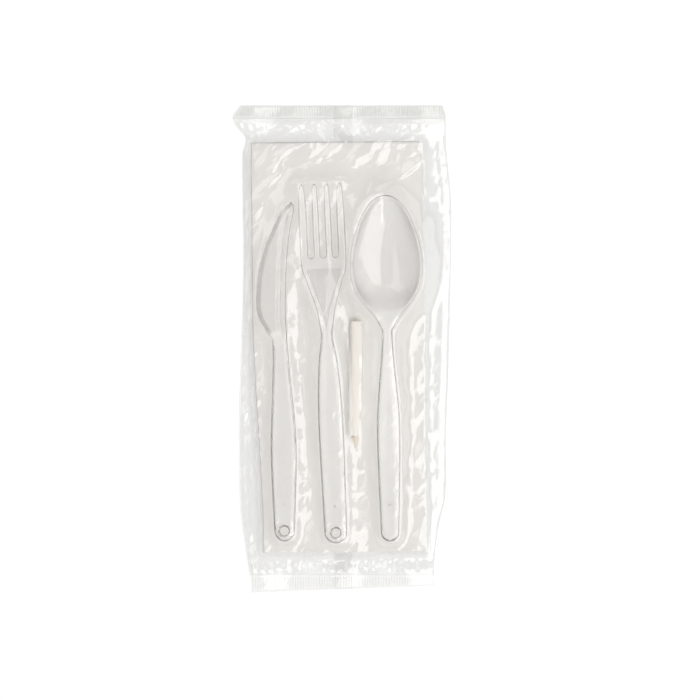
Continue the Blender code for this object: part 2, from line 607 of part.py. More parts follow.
def film_grid():
    """Places of the grid's points, row by row from the top cut to the bottom cut, with seam columns."""
    open_length = pack_length - TOP_SEAL_WIDTH - BOTTOM_SEAL_WIDTH
    inner_rows = [TOP_SEAL_WIDTH + open_length * i / PANEL_ROWS for i in range(PANEL_ROWS + 1)]
    grid = []
    for down in [0.0] + inner_rows + [pack_length]:
        share = down / pack_length
        left = -pack_width / 2 + EDGE_WANDER * curve_through(LEFT_EDGE, share)
        right = pack_width / 2 - EDGE_WANDER * curve_through(RIGHT_EDGE, share)
        seam = FIN_FROM_MIDDLE
        tip = seam - FIN_WIDTH
        xs = [left + (tip - left) * i / COLUMNS_LEFT_OF_FIN for i in range(COLUMNS_LEFT_OF_FIN)]
        xs += [tip + (seam - tip) * i / FIN_COLUMNS for i in range(FIN_COLUMNS)]
        xs += [seam + (right - seam) * i / COLUMNS_RIGHT_OF_SEAM for i in range(COLUMNS_RIGHT_OF_SEAM + 1)]
        slant = BOTTOM_CUT_SLANT if down == pack_length else 0.0
        ys = [pack_length / 2 - down + slant * (x - left) / (right - left) for x in xs]
        grid.append(list(zip(xs, ys)))
    return np.array(grid)


def heights_inside(pieces, grid, fine):
    """Highest point of the contents at fine steps inside each cell: [row, column, step, step]."""
    bpy.context.view_layer.update()
    graph = bpy.context.evaluated_depsgraph_get()
    trees = []
    for piece in pieces:
        solid = piece.evaluated_get(graph)
        mesh = solid.to_mesh()
        corners = [solid.matrix_world @ v.co for v in mesh.vertices]
        trees.append(BVHTree.FromPolygons(corners, [tuple(p.vertices) for p in mesh.polygons]))
        solid.to_mesh_clear()
    rows, columns = grid.shape[0] - 1, grid.shape[1] - 1
    found = np.zeros((rows, columns, fine, fine))
    sky, down = pack_length, Vector((0, 0, -1))
    for r in range(rows):
        for c in range(columns):
            for a in range(fine):
                for b in range(fine):
                    s, t = a / (fine - 1), b / (fine - 1)
                    upper = grid[r, c] * (1 - t) + grid[r, c + 1] * t
                    lower = grid[r + 1, c] * (1 - t) + grid[r + 1, c + 1] * t
                    x, y = upper * (1 - s) + lower * s
                    for tree in trees:
                        hit = tree.ray_cast(Vector((x, y, sky)), down)[0]
                        if hit:
                            found[r, c, a, b] = max(found[r, c, a, b], hit.z)
    return found


def settle_film(start, fixed, contents, fine):
    """Height of the upper film, as low and as even as it can lie without touching the contents.

    The film is let down to the mean of its neighbours again and again, and lifted wherever one of the two
    triangles of a cell would come too near to what is under it.
    """
    z = start.copy()
    floor = start.copy()
    s = np.linspace(0, 1, fine)[:, None]
    t = np.linspace(0, 1, fine)[None, :]
    right_half = t >= s
    for _ in range(SETTLING_ROUNDS):
        for _ in range(30):
            mean = z.copy()
            mean[1:-1, 1:-1] = (z[:-2, 1:-1] + z[2:, 1:-1] + z[1:-1, :-2] + z[1:-1, 2:]) / 4
            z = np.where(fixed, start, np.maximum(mean, floor))
        a, b = z[:-1, :-1, None, None], z[:-1, 1:, None, None]
        d, e = z[1:, :-1, None, None], z[1:, 1:, None, None]
        surface = np.where(right_half, a + t * (b - a) + s * (e - b), a + s * (d - a) + t * (e - d))
        lack = np.maximum(contents + FILM_CLEARANCE - surface, 0) * (contents > 0)
        lift = lack.max(axis=(2, 3))
        raised = np.zeros_like(z)
        for rows, columns in ((slice(None, -1), slice(None, -1)), (slice(None, -1), slice(1, None)),
                              (slice(1, None), slice(None, -1)), (slice(1, None), slice(1, None))):
            raised[rows, columns] = np.maximum(raised[rows, columns], lift)
        floor = np.where(fixed, floor, np.maximum(floor, (z + raised) * (raised > 0)))
        z = np.where(fixed, start, np.maximum(z, floor))
    return z


def build_film(contents):
    grid = film_grid()
    rows, columns = grid.shape[0] - 1, grid.shape[1] - 1
    seam_column = COLUMNS_LEFT_OF_FIN + FIN_COLUMNS
    fused = FILM_THICKNESS * 0.4
    fine = 6

    across = np.linspace(0, 1, columns + 1)
    seal = SEAL_HEIGHT + SEAL_WAVE * np.sin(2 * math.pi * (2.5 * across + 0.15))
    lower = np.zeros((rows + 1, columns + 1))
    for r in range(rows + 1):
        down = pack_length / 2 - grid[r, 0, 1]
        rising = max(1 - smooth_step(TOP_SEAL_WIDTH, TOP_SEAL_WIDTH + 0.8 * TOP_ROOM, down),
                     smooth_step(pack_length - BOTTOM_SEAL_WIDTH - 0.8 * BOTTOM_ROOM,
                                 pack_length - BOTTOM_SEAL_WIDTH, down))
        for c in range(columns + 1):
            over_fin = film_over_fin if seam_column - FIN_COLUMNS <= c <= seam_column else 0.0
            flat = over_fin + FILM_THICKNESS
            lower[r, c] = flat + (seal[c] - fused - flat) * rising
    upper = lower + SIDE_FOLD_HEIGHT
    for r in (0, 1, rows - 1, rows):
        upper[r] = seal + fused
        lower[r] = seal - fused
    fixed = np.ones((rows + 1, columns + 1), dtype=bool)
    fixed[2:-2, 1:-1] = False
    inside = heights_inside(contents, grid, fine)
    upper = settle_film(upper, fixed, inside, fine)
    # Creases only lift the film, so it stays clear of what it covers
    upper[2:-2, 1:-1] += CRUMPLE_HEIGHT * np.random.default_rng(3).random((rows - 3, columns - 1))
    for r in range(2, rows - 1):
        from_seal = min(r - 1, rows - 1 - r)
        for c in range(1, columns):
            upper[r, c] += GATHER_HEIGHT * (c % 2) * math.exp(-0.5 * (from_seal - 1) ** 2)

    bm = bmesh.new()

    def points(level, r_first, r_last, out, lift):
        made = []
        for r in range(r_first, r_last + 1):
            line = []
            for c in range(columns + 1):
                x, y = grid[r, c]
                side = -out if c == 0 else out if c == columns else 0.0
                line.append(bm.verts.new((x + side, y, level[r, c] + lift)))
            made.append(line)
        return made

    def sheet(lines, upward):
        """Two triangles a cell, split the way that the settling reads them."""
        for high, low in zip(lines, lines[1:]):
            for c in range(len(high) - 1):
                for tri in ((high[c], low[c + 1], high[c + 1]), (high[c], low[c], low[c + 1])):
                    bm.faces.new(tri if upward else tri[::-1])

    def strip(first, second, turned=False):
        for i in range(len(first) - 1):
            face = [first[i], first[i + 1], second[i + 1], second[i]]
            bm.faces.new(face[::-1] if turned else face)

    inner_up = points(upper, 1, rows - 1, 0.0, 0.0)
    inner_low = points(lower, 1, rows - 1, 0.0, 0.0)
    sheet(inner_up, False)
    sheet(inner_low, True)
    strip([line[0] for line in inner_up], [line[0] for line in inner_low])
    strip([line[-1] for line in inner_up], [line[-1] for line in inner_low], True)
    strip(inner_up[0], inner_low[0], True)
    strip(inner_up[-1], inner_low[-1])

    outer_up = points(upper, 0, rows, FILM_THICKNESS, FILM_THICKNESS)
    outer_low = points(lower, 0, rows, FILM_THICKNESS, -FILM_THICKNESS)
    sheet(outer_up, True)
    # The fin hangs from the seam column, whose underside point is doubled to let it out
    left_root, right_root = [], []
    for r in range(rows + 1):
        x, y = grid[r, seam_column]
        z = lower[r, seam_column] - FILM_THICKNESS
        outer_low[r][seam_column].co.x = x - FILM_THICKNESS
        left_root.append(outer_low[r][seam_column])
        right_root.append(bm.verts.new((x + FILM_THICKNESS, y, z)))
    sheet([line[:seam_column] + [root] for line, root in zip(outer_low, left_root)], False)
    sheet([[root] + line[seam_column + 1:] for line, root in zip(outer_low, right_root)], False)
    fin_top, fin_bottom = [], []
    for r in range(rows + 1):
        tops, bottoms = [], []
        for c in range(seam_column - FIN_COLUMNS, seam_column + 1):
            x, y = grid[r, c]
            z = lower[r, c] - FILM_THICKNESS - REST_GAP
            at_root = FILM_THICKNESS if c == seam_column else 0.0
            tops.append(bm.verts.new((x - at_root, y, z)))
            bottoms.append(bm.verts.new((x + at_root, y, z - fin_thickness)))
        fin_top.append(tops)
        fin_bottom.append(bottoms)
    sheet(fin_top, True)
    sheet(fin_bottom, False)
    strip([line[0] for line in fin_top], [line[0] for line in fin_bottom], True)
    strip(left_root, [line[-1] for line in fin_top], True)
    strip(right_root, [line[-1] for line in fin_bottom])
    strip([line[0] for line in outer_up], [line[0] for line in outer_low], True)
    strip([line[-1] for line in outer_up], [line[-1] for line in outer_low])
    for r, turned in ((0, False), (rows, True)):
        up, low = outer_up[r], outer_low[r]
        strip(up[:seam_column + 1], low[:seam_column] + [left_root[r]], turned)
        strip(up[seam_column:], [right_root[r]] + low[seam_column + 1:], turned)
        strip(fin_top[r], fin_bottom[r], turned)
        corner = [up[seam_column], right_root[r], left_root[r]]
        root = [left_root[r], right_root[r], fin_bottom[r][-1], fin_top[r][-1]]
        for face in (corner, root):
            bm.faces.new(face[::-1] if turned else face)
    film = plain_material("pack_film", (0.97, 0.97, 0.97), 0.12, 0.9)
    pack = add_piece("film_pack", bm, film)
    vent_row = rows // 3
    vent_column = COLUMNS_LEFT_OF_FIN // 2
    cell = (grid[vent_row, vent_column] + grid[vent_row + 1, vent_column + 1]) / 2
    cut_round(pack, "film_vent", VENT_RADIUS, cell, -REST_GAP / 2, FILM_THICKNESS + REST_GAP / 2, 10)
    return pack


for old in list(bpy.data.objects):
    bpy.data.objects.remove(old)

clear_plastic = plain_material("clear_polystyrene", (0.93, 0.94, 0.94), 0.06, 1.0)
build_napkin()
build_knife()
build_fork()
build_spoon()
build_toothpick_and_sleeve()
build_film([o for o in bpy.context.scene.objects if not o.hide_render])
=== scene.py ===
"""Cutlery set sealed in a clear film pack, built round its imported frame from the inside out."""
import math

import bpy
import numpy as np
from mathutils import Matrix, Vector
from mathutils.bvhtree import BVHTree
from mathutils.geometry import delaunay_2d_cdt


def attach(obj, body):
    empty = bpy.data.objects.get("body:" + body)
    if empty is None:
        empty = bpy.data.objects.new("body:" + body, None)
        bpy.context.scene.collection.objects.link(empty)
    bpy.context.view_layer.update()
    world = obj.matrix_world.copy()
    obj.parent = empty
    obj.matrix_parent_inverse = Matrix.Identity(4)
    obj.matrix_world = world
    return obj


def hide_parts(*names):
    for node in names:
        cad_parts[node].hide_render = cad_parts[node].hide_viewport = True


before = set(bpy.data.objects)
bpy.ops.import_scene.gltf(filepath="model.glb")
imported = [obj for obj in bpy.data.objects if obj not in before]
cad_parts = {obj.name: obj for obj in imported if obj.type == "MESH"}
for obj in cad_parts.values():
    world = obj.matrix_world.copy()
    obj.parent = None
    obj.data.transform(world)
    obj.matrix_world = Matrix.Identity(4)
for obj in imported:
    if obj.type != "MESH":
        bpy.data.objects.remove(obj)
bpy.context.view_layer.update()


# Floor, lights and camera. A white sweep lies under a large softbox on the right and near side and a small
# one at the far left, in a grey room that is darker on the far left, low down and overhead. The camera looks
# straight down through a long lens.

bpy.context.scene.view_settings.view_transform = "Standard"


class Wire:
    """One socket of a shader tree. Sums on it add Math nodes."""

    def __init__(self, tree, socket):
        self.tree, self.socket = tree, socket

    def sum(self, operation, *values):
        return self.tree.node("ShaderNodeMath", {"operation": operation}, dict(enumerate(values)))

    def __add__(self, other):
        return self.sum("ADD", self, other)

    __radd__ = __add__

    def __mul__(self, other):
        return self.sum("MULTIPLY", self, other)

    __rmul__ = __mul__

    def __sub__(self, other):
        return self.sum("SUBTRACT", self, other)

    def __rsub__(self, other):
        return self.sum("SUBTRACT", other, self)

    def __pow__(self, other):
        return self.sum("POWER", self, other)

    def larger(self, other):
        return self.sum("MAXIMUM", self, other)

    def beside(self, out):
        """Another output of the same node."""
        return Wire(self.tree, self.socket.node.outputs[out])


class Shader:
    """The node tree of a material or of the world."""

    def __init__(self, owner):
        owner.use_nodes = True
        self.tree = owner.node_tree
        self.tree.nodes.clear()

    def node(self, kind, settings=None, sockets=None, out=0):
        made = self.tree.nodes.new(kind)
        for name, value in (settings or {}).items():
            if name == "stops":
                ramp = made.color_ramp.elements
                while len(ramp) < len(value):
                    ramp.new(0.5)
                for stop, (place, tone) in zip(ramp, value):
                    stop.position, stop.color = place, (tone, tone, tone, 1)
            else:
                setattr(made, name, value)
        for name, value in (sockets or {}).items():
            if isinstance(value, Wire):
                self.tree.links.new(value.socket, made.inputs[name])
            else:
                made.inputs[name].default_value = value
        return Wire(self, made.outputs[out])

    def blend(self, share, first, second):
        """Colour between two colours."""
        return self.node("ShaderNodeMix", {"data_type": "RGBA"}, {0: share, 6: first, 7: second}, out=2)

    def surface(self, wire, kind="ShaderNodeOutputMaterial"):
        made = self.tree.nodes.new(kind)
        self.tree.links.new(wire.socket, made.inputs["Surface"])

    def body(self, sockets):
        """A surface with a colour, a roughness and more, as given."""
        return self.node("ShaderNodeBsdfPrincipled", {}, sockets)

    def clear(self, *colour):
        """A surface that lets light straight through, and tints it."""
        return self.node("ShaderNodeBsdfTransparent", {}, {"Color": (*colour, 1)})

    def mixed(self, share, first, second):
        """A surface between two surfaces."""
        return self.node("ShaderNodeMixShader", {}, {0: share, 1: first, 2: second})

    def stored(self, name):
        """A number that is stored at the corners of the mesh."""
        return self.node("ShaderNodeAttribute", {"attribute_name": name}, out="Fac")

    def ramp(self, value, *stops):
        return self.node("ShaderNodeValToRGB", {"stops": stops}, {0: value})

    def noise(self, place, scale, detail=2.0, roughness=0.5):
        return self.node("ShaderNodeTexNoise", {}, {"Vector": place, "Scale": scale, "Detail": detail,
                                                    "Roughness": roughness})

    def here(self, stretch=(1, 1, 1)):
        """Object coordinates, in metres times stretch."""
        place = self.node("ShaderNodeTexCoord", out=3)
        return self.node("ShaderNodeMapping", {}, {"Vector": place, "Scale": stretch})

    def bump(self, height, distance, strength=1.0, **more):
        return self.node("ShaderNodeBump", {}, {"Height": height, "Distance": distance,
                                                "Strength": strength, **more})


def new_material(name):
    made = bpy.data.materials.new(name)
    return made, Shader(made)


def tone(red, green, blue):
    """A colour given in the tones of a picture, 0 to 255, in linear light."""
    return (*[((c / 255 + 0.055) / 1.055) ** 2.4 for c in (red, green, blue)], 1.0)


FLOOR_TONE = 0.39
FLOOR_GLOW = 0.645
FLOOR_DROP = 0.0002
floor_mesh = bpy.data.meshes.new("floor")
floor_mesh.from_pydata([(x, y, -FLOOR_DROP) for x, y in ((-4, -4), (4, -4), (4, 4), (-4, 4))], [],
                       [(0, 1, 2, 3)])
floor = bpy.data.objects.new("floor", floor_mesh)
bpy.context.collection.objects.link(floor)
sweep, shader = new_material("white_sweep")
ray = shader.node("ShaderNodeLightPath", out="Is Camera Ray")
seen = ray.larger(ray.beside("Is Glossy Ray")).larger(ray.beside("Is Transmission Ray"))
paper = shader.node("ShaderNodeBsdfDiffuse", {}, {"Color": (FLOOR_TONE,) * 3 + (1,)})
glow = shader.node("ShaderNodeEmission", {}, {"Color": (1, 1, 1, 1), "Strength": seen * FLOOR_GLOW})
shader.surface(shader.node("ShaderNodeAddShader", {}, {0: paper, 1: glow}))
floor_mesh.materials.append(sweep)

ROOM_TONE = 0.58
ROOM_SIDE = 0.26
ROOM_DARKEST = 0.05
world = bpy.data.worlds.new("grey_room")
bpy.context.scene.world = world
shader = Shader(world)
right = shader.node("ShaderNodeSeparateXYZ", {}, {0: shader.node("ShaderNodeTexCoord", out="Generated")})
from_left = (ROOM_TONE + ROOM_SIDE * (right - right.beside("Y"))).larger(ROOM_DARKEST)
upward = shader.ramp(right.beside("Z"), (0.08, 0.10), (0.45, 1.0), (0.95, 1.0), (0.99, 0.62))
room = from_left * upward
shader.surface(shader.node("ShaderNodeBackground", {}, {"Color": (1, 0.995, 0.987, 1), "Strength": room}),
               "ShaderNodeOutputWorld")


def softbox(name, size, at, watts):
    """A flat soft light that faces the pack."""
    lamp = bpy.data.lights.new(name, "AREA")
    lamp.shape, lamp.energy = "RECTANGLE", watts
    lamp.size, lamp.size_y = size
    light = bpy.data.objects.new(name, lamp)
    light.location = at
    light.rotation_euler = Vector(at).to_track_quat("Z", "Y").to_euler()
    light.visible_camera = False
    bpy.context.collection.objects.link(light)


softbox("large_softbox", (2.3, 3.0), (1.52, -0.70, 2.05), 42.0)
softbox("small_softbox", (1.5, 2.2), (-1.2, 1.0, 2.2), 11.0)

FRAME_WIDTH = 0.343
CAMERA_HEIGHT = 3.0
camera_data = bpy.data.cameras.new("camera")
camera_data.lens = camera_data.sensor_width * CAMERA_HEIGHT / FRAME_WIDTH
camera_data.clip_end = 20
camera = bpy.data.objects.new("camera", camera_data)
camera.location = (0.0038, -0.0005, CAMERA_HEIGHT)
bpy.context.collection.objects.link(camera)
bpy.context.scene.camera = camera


# Napkin: one two-ply tissue sheet folded in half, in half again and across, so that eight soft leaves lie
# on each other. The folds are on the left and at the top, and the loose edges on the right and at the
# bottom don't quite meet.

def ease(low, high, t):
    """Smooth step from 0 at low to 1 at high."""
    s = np.clip((t - low) / (high - low), 0, 1)
    return s * s * (3 - 2 * s)


def place_piece(name, points, faces, material, at, turn=0.0, sharp=None):
    """A finished mesh piece, turned and moved in its mesh, that rides on the pack."""
    points = np.asarray(points, float)
    c, s = math.cos(turn), math.sin(turn)
    moved = np.column_stack((points[:, 0] * c - points[:, 1] * s + at[0],
                             points[:, 0] * s + points[:, 1] * c + at[1], points[:, 2] + at[2]))
    mesh = bpy.data.meshes.new(name)
    mesh.from_pydata(moved.tolist(), [], faces)
    mesh.validate()
    mesh.shade_smooth()
    if sharp:
        mesh.set_sharp_from_angle(angle=math.radians(sharp))
    mesh.materials.append(material)
    piece = bpy.data.objects.new(name, mesh)
    bpy.context.collection.objects.link(piece)
    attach(piece, "root")
    return piece


def tube_faces(rows, count):
    """Faces between closed rows, each with count points."""
    return [(k * count + i, k * count + (i + 1) % count, (k + 1) * count + (i + 1) % count,
             (k + 1) * count + i) for k in range(rows - 1) for i in range(count)]


CONTENTS_LEFT = -0.0439
CONTENTS_BOTTOM = -0.0997
NAPKIN_WIDTH = 0.0840
NAPKIN_LENGTH = 0.2012
NAPKIN_BOTTOM = 0.00075
SHEET_THICKNESS = 0.0002
LEAF_GAP = 0.00012
FOLD_DRIFT = 0.0046
NAPKIN_TURN = math.radians(0.45)
NAPKIN_WAVE = 0.00012
LEAF_SLIP = (0.0, -0.0007, 0.0003)
LOOSE_END_STEP = 0.0013
FOLD_TURNS = 10
CROSS_FOLD_TURNS = 12


def napkin_section():
    """The sheet across the napkin, folded twice.

    Each point gives a side, its distance in from that side and its height, or a share of the width.
    """
    pitch, edge = SHEET_THICKNESS + LEAF_GAP, SHEET_THICKNESS / 2
    level = [edge + i * pitch for i in range(4)]
    outer, inner = 1.5 * pitch, 0.5 * pitch
    line = [("right", -inner - edge + LEAF_SLIP[0], level[3])]
    line += [(t, 0.0, level[3]) for t in np.linspace(0.92, 0.08, 12)]
    folds = (("left", 1, outer, 1, (level[0] + level[3]) / 2, 0.0, level[0]),
             ("right", -1, inner, 1, (level[0] + level[1]) / 2, LEAF_SLIP[1], level[1]),
             ("left", 1, inner, -1, (level[1] + level[2]) / 2, 0.0, level[2]))
    for side, inward, radius, way, height, slip, after in folds:
        centre = inward * ((outer if side == "left" else inner) + edge) + slip
        start = math.pi / 2 if side == "left" and way == 1 else -math.pi / 2
        for i in range(FOLD_TURNS + 1):
            a = start + way * math.pi * i / FOLD_TURNS
            line.append((side, centre + radius * math.cos(a), height + radius * math.sin(a)))
        across = np.linspace(0.1, 0.9, 9)
        line += [(t, 0.0, after) for t in (across if side == "left" else across[::-1])]
    line.append(("right", -inner - edge + LEAF_SLIP[2], level[2]))
    return line


def build_napkin(material):
    """The folded section, drawn along the napkin, round the cross fold and back over itself."""
    section = napkin_section()
    four_leaves = 4 * SHEET_THICKNESS + 3 * LEAF_GAP
    around = four_leaves + LEAF_GAP / 2
    fold_start = NAPKIN_LENGTH / 2 - around
    first, last = -NAPKIN_LENGTH / 2, LOOSE_END_STEP - NAPKIN_LENGTH / 2
    stations = [(y, 0.0) for y in np.linspace(first, fold_start, 61)[:-1]]
    stations += [(fold_start, math.pi * i / CROSS_FOLD_TURNS) for i in range(CROSS_FOLD_TURNS + 1)]
    stations += [(y, math.pi) for y in np.linspace(fold_start, last, 61)[1:]]
    points = []
    for y, a in stations:
        share = y / NAPKIN_LENGTH + 0.5
        left = FOLD_DRIFT * float(ease(-0.62, 0.0, -share)) - NAPKIN_WIDTH / 2
        right = NAPKIN_WIDTH / 2 + 0.0002 * math.sin(41 * y) - 0.0001
        flat = []
        for side, x, z in section:
            if side == "left":
                flat.append((left + x, z))
            elif side == "right":
                flat.append((right + x, z))
            else:
                flat.append((left + (right - left) * side, z))
        flat = np.array(flat)
        along = np.empty_like(flat)
        along[1:-1] = flat[2:] - flat[:-2]
        along[0], along[-1] = flat[1] - flat[0], flat[-1] - flat[-2]
        along /= np.linalg.norm(along, axis=1)[:, None]
        off = np.column_stack((-along[:, 1], along[:, 0])) * SHEET_THICKNESS / 2
        ring = np.concatenate((flat - off, (flat + off)[::-1]))
        for x, z in ring:
            reach = around - z
            top = around - reach * math.cos(a)
            wave = NAPKIN_WAVE * math.sin(95 * x + 31 * y) * math.sin(47 * y - 1.3 + 20 * x)
            soft = min(top / (2 * four_leaves), 1.0) * max(math.sin(min((right - x) * 150, math.pi / 2)), 0)
            points.append((x, y + reach * math.sin(a), top + (wave - NAPKIN_WAVE * 0.6) * soft))
    count, half = len(ring), len(ring) // 2
    faces = tube_faces(len(stations), count)
    end = (len(stations) - 1) * count
    for i in range(half - 1):
        faces.append((i + 1, i, count - 1 - i, count - 2 - i))
        faces.append((end + i, end + i + 1, end + count - 2 - i, end + count - 1 - i))
    at = (CONTENTS_LEFT + NAPKIN_WIDTH / 2, CONTENTS_BOTTOM + NAPKIN_LENGTH / 2, NAPKIN_BOTTOM)
    return place_piece("folded_napkin", points, faces, material, at, NAPKIN_TURN, 60)


tissue, shader = new_material("tissue_paper")
fibres = shader.noise(shader.here((1, 0.6, 1)), 2600, 3.0, 0.7)
clouds = shader.noise(shader.here(), 90, 3.0, 0.55)
embossing = shader.node("ShaderNodeTexVoronoi", {"feature": "SMOOTH_F1"},
                        {"Vector": shader.here(), "Scale": 900, "Smoothness": 0.6})
colour = shader.blend(clouds * 0.7 + fibres * 0.3, tone(235, 232, 229), tone(244, 242, 240))
relief = shader.bump(embossing * 0.5 + fibres * 0.5, 0.00006, 0.5)
shader.surface(shader.body({"Base Color": colour, "Roughness": 0.95, "Specular IOR Level": 0.2,
                            "Sheen Weight": 0.15, "Sheen Roughness": 0.6, "Normal": relief}))
napkin = build_napkin(tissue)
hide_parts("napkin")


# Cutlery: three one-piece mouldings in clear polystyrene, with a small ejector pin mark in each handle. Each
# is drawn as a flat outline that is filled with points, then given its upper and lower surface as heights.

def smooth_curve(points):
    """A smooth curve through (t, value) points, flat at its two ends."""
    ts, vs = np.array(points, float).T
    slopes = np.zeros(len(ts))
    slopes[1:-1] = (vs[2:] - vs[:-2]) / (ts[2:] - ts[:-2])

    def value(t):
        t = np.clip(t, ts[0], ts[-1])
        i = np.clip(np.searchsorted(ts, t, side="right") - 1, 0, len(ts) - 2)
        step = ts[i + 1] - ts[i]
        s = (t - ts[i]) / step
        rise = s * s * (3 - 2 * s)
        return (vs[i] * (1 - rise) + vs[i + 1] * rise + slopes[i] * step * s * (1 - s) ** 2
                - slopes[i + 1] * step * s * s * (1 - s))
    return value


def round_end(y, radius):
    """Share of the full width at a distance y from a round end."""
    return np.sqrt(np.maximum(0, 1 - (1 - np.minimum(y / radius, 1)) ** 2))


def from_outline(points, loops):
    """Each point's distance from the outline loops, and whether it is inside them."""
    starts = np.concatenate(loops)
    ends = np.concatenate([np.roll(loop, -1, axis=0) for loop in loops])
    along = ends - starts
    lengths = (along ** 2).sum(1)
    rise = np.where(along[:, 1] == 0, 1, along[:, 1])
    nearest, inside = np.empty(len(points)), np.zeros(len(points), bool)
    for i in range(0, len(points), 1500):
        p = points[i:i + 1500, None, :]
        off = p - starts
        t = np.clip((off * along).sum(2) / lengths, 0, 1)
        nearest[i:i + 1500] = np.sqrt(((off - t[..., None] * along) ** 2).sum(2).min(1))
        crosses = (starts[:, 1] > p[..., 1]) != (ends[:, 1] > p[..., 1])
        x = starts[:, 0] + (p[..., 1] - starts[:, 1]) * along[:, 0] / rise
        inside[i:i + 1500] = (crosses & (p[..., 0] < x)).sum(1) % 2 == 1
    return nearest, inside


EDGE_ROUNDING = 0.0009
EDGE_RINGS = (0.00004, 0.00013, 0.00027, 0.00045, 0.00068, 0.00092)
RIM_STEP = 0.0005
FILL_SPACING = 0.0006
HANDLE_EDGE = 0.0014
HANDLE_END_RADIUS = 0.0050
CHAMFER = 0.0020
CROWN_HEIGHT = 0.0005
CROWN_REACH = 0.0062
HOLE_AT = (0.0, HANDLE_END_RADIUS)
HOLE_RADIUS = 0.0022
COLLAR_HEIGHT = 0.0003
PIN_MARK_AT = (0.0, 0.0181)
PIN_MARK_DEPTH = 0.0005
CUTLERY_BOTTOM = 0.00349


def moulding(name, loops, surfaces, lines, at, turn, node):
    """A closed moulding. surfaces gives the heights of top and bottom at points at a distance from the rim.

    loops are its outline, anticlockwise, and its holes, clockwise. lines are rows of points that the mesh
    has to follow, such as the edge of a step.
    """
    def stepped(line):
        gaps = np.r_[0, np.cumsum(np.linalg.norm(np.diff(line, axis=0), axis=1))]
        places = np.linspace(0, gaps[-1], max(int(gaps[-1] / RIM_STEP), 6) + 1)
        return np.column_stack([np.interp(places, gaps, line[:, k]) for k in (0, 1)])

    loops = [stepped(np.vstack((loop, loop[:1])))[:-1] for loop in loops]
    candidates, reach = [], []
    for loop in loops:
        tangent = np.roll(loop, -1, axis=0) - np.roll(loop, 1, axis=0)
        tangent /= np.linalg.norm(tangent, axis=1)[:, None]
        for depth in EDGE_RINGS:
            candidates.append(loop + np.column_stack((-tangent[:, 1], tangent[:, 0])) * depth)
            reach.append(np.full(len(loop), depth * 0.93))
    for line in lines:
        candidates.append(stepped(line))
        reach.append(np.full(len(candidates[-1]), 0.00003))
    low, high = loops[0].min(0), loops[0].max(0)
    rows = np.arange(low[1], high[1], FILL_SPACING * 0.87)
    for i, y in enumerate(rows):
        xs = np.arange(low[0] + (i % 2) * FILL_SPACING / 2, high[0], FILL_SPACING)
        candidates.append(np.column_stack((xs, np.full(len(xs), y))))
        reach.append(np.full(len(xs), EDGE_RINGS[-1] + FILL_SPACING * 0.45))
    candidates, reach = np.vstack(candidates), np.concatenate(reach)
    gap, inside = from_outline(candidates, loops)
    candidates = candidates[inside & (gap >= reach)]
    rim = np.vstack(loops)
    points = np.vstack((rim, candidates))
    edges, start = [], 0
    for loop in loops:
        edges += [(start + i, start + (i + 1) % len(loop)) for i in range(len(loop))]
        start += len(loop)
    found = delaunay_2d_cdt([Vector(p) for p in points.tolist()], edges, [], 0, 1e-7)
    flat = np.array([tuple(v) for v in found[0]])
    triangles = np.array(found[2])
    on_rim = np.array([any(k < len(rim) for k in ids) or not ids for ids in found[3]])
    outer = on_rim[triangles].all(1)
    kept = np.ones(len(triangles), bool)
    kept[outer] = from_outline(flat[triangles[outer]].mean(1), loops)[1]
    triangles = triangles[kept]
    a, b, c = (flat[triangles[:, k]] for k in range(3))
    turned = (b[:, 0] - a[:, 0]) * (c[:, 1] - a[:, 1]) - (b[:, 1] - a[:, 1]) * (c[:, 0] - a[:, 0]) < 0
    triangles[turned] = triangles[turned][:, ::-1]

    gap = from_outline(flat, loops)[0]
    gap[on_rim] = 0
    body = from_outline(flat, loops[:1])[0]
    body[on_rim & (body < 1e-6)] = 0
    top, bottom = surfaces(flat[:, 0], flat[:, 1], body)
    middle, half = (top + bottom) / 2, (top - bottom) / 2
    rounding = np.minimum(EDGE_ROUNDING, half)
    full = np.sqrt(np.maximum(0, 1 - (1 - np.minimum(gap / rounding, 1)) ** 2))
    uppers = np.column_stack((flat, middle + half * full))
    lowers = np.column_stack((flat, middle - half * full))
    lower_index = np.arange(len(flat)) + len(flat)
    lower_index[on_rim] = np.arange(len(flat))[on_rim]
    faces = triangles.tolist() + lower_index[triangles][:, ::-1].tolist()
    used = np.unique(np.array(faces))
    renumber = np.zeros(2 * len(flat), int)
    renumber[used] = np.arange(len(used))
    piece = place_piece(name, np.vstack((uppers, lowers))[used], renumber[np.array(faces)].tolist(),
                        clear_plastic, at, turn, 55)
    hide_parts(node)
    return piece


def sides(rows, left, right):
    """Anticlockwise outline from a left and a right edge along rows that rise in y."""
    return np.vstack((np.column_stack((right, rows)), np.column_stack((left, rows))[::-1]))


def ring(centre, radius, count=28):
    """Clockwise round hole."""
    a = -2 * np.pi * np.arange(count) / count
    return np.column_stack((centre[0] + radius * np.cos(a), centre[1] + radius * np.sin(a)))


def end_rows(radius):
    """Heights up a round end, closest at its tip."""
    return radius * (1 - np.cos(np.pi / 2 * np.arange(16) / 16))


def handle_thickness(from_rim, thick):
    """A handle is thin at its rim, and rises by a chamfer to a panel with a slight crown."""
    crown = CROWN_HEIGHT * (1 - np.clip(1 - from_rim / CROWN_REACH, 0, 1) ** 2)
    return HANDLE_EDGE + (thick - CROWN_HEIGHT - HANDLE_EDGE) * ease(0.0, 1.0, from_rim / CHAMFER) + crown


def pin_mark(x, y):
    """Depth of the small round mark that an ejector pin leaves."""
    return PIN_MARK_DEPTH * (1 - ease(0.0005, 0.0008, np.hypot(x - PIN_MARK_AT[0], y - PIN_MARK_AT[1])))


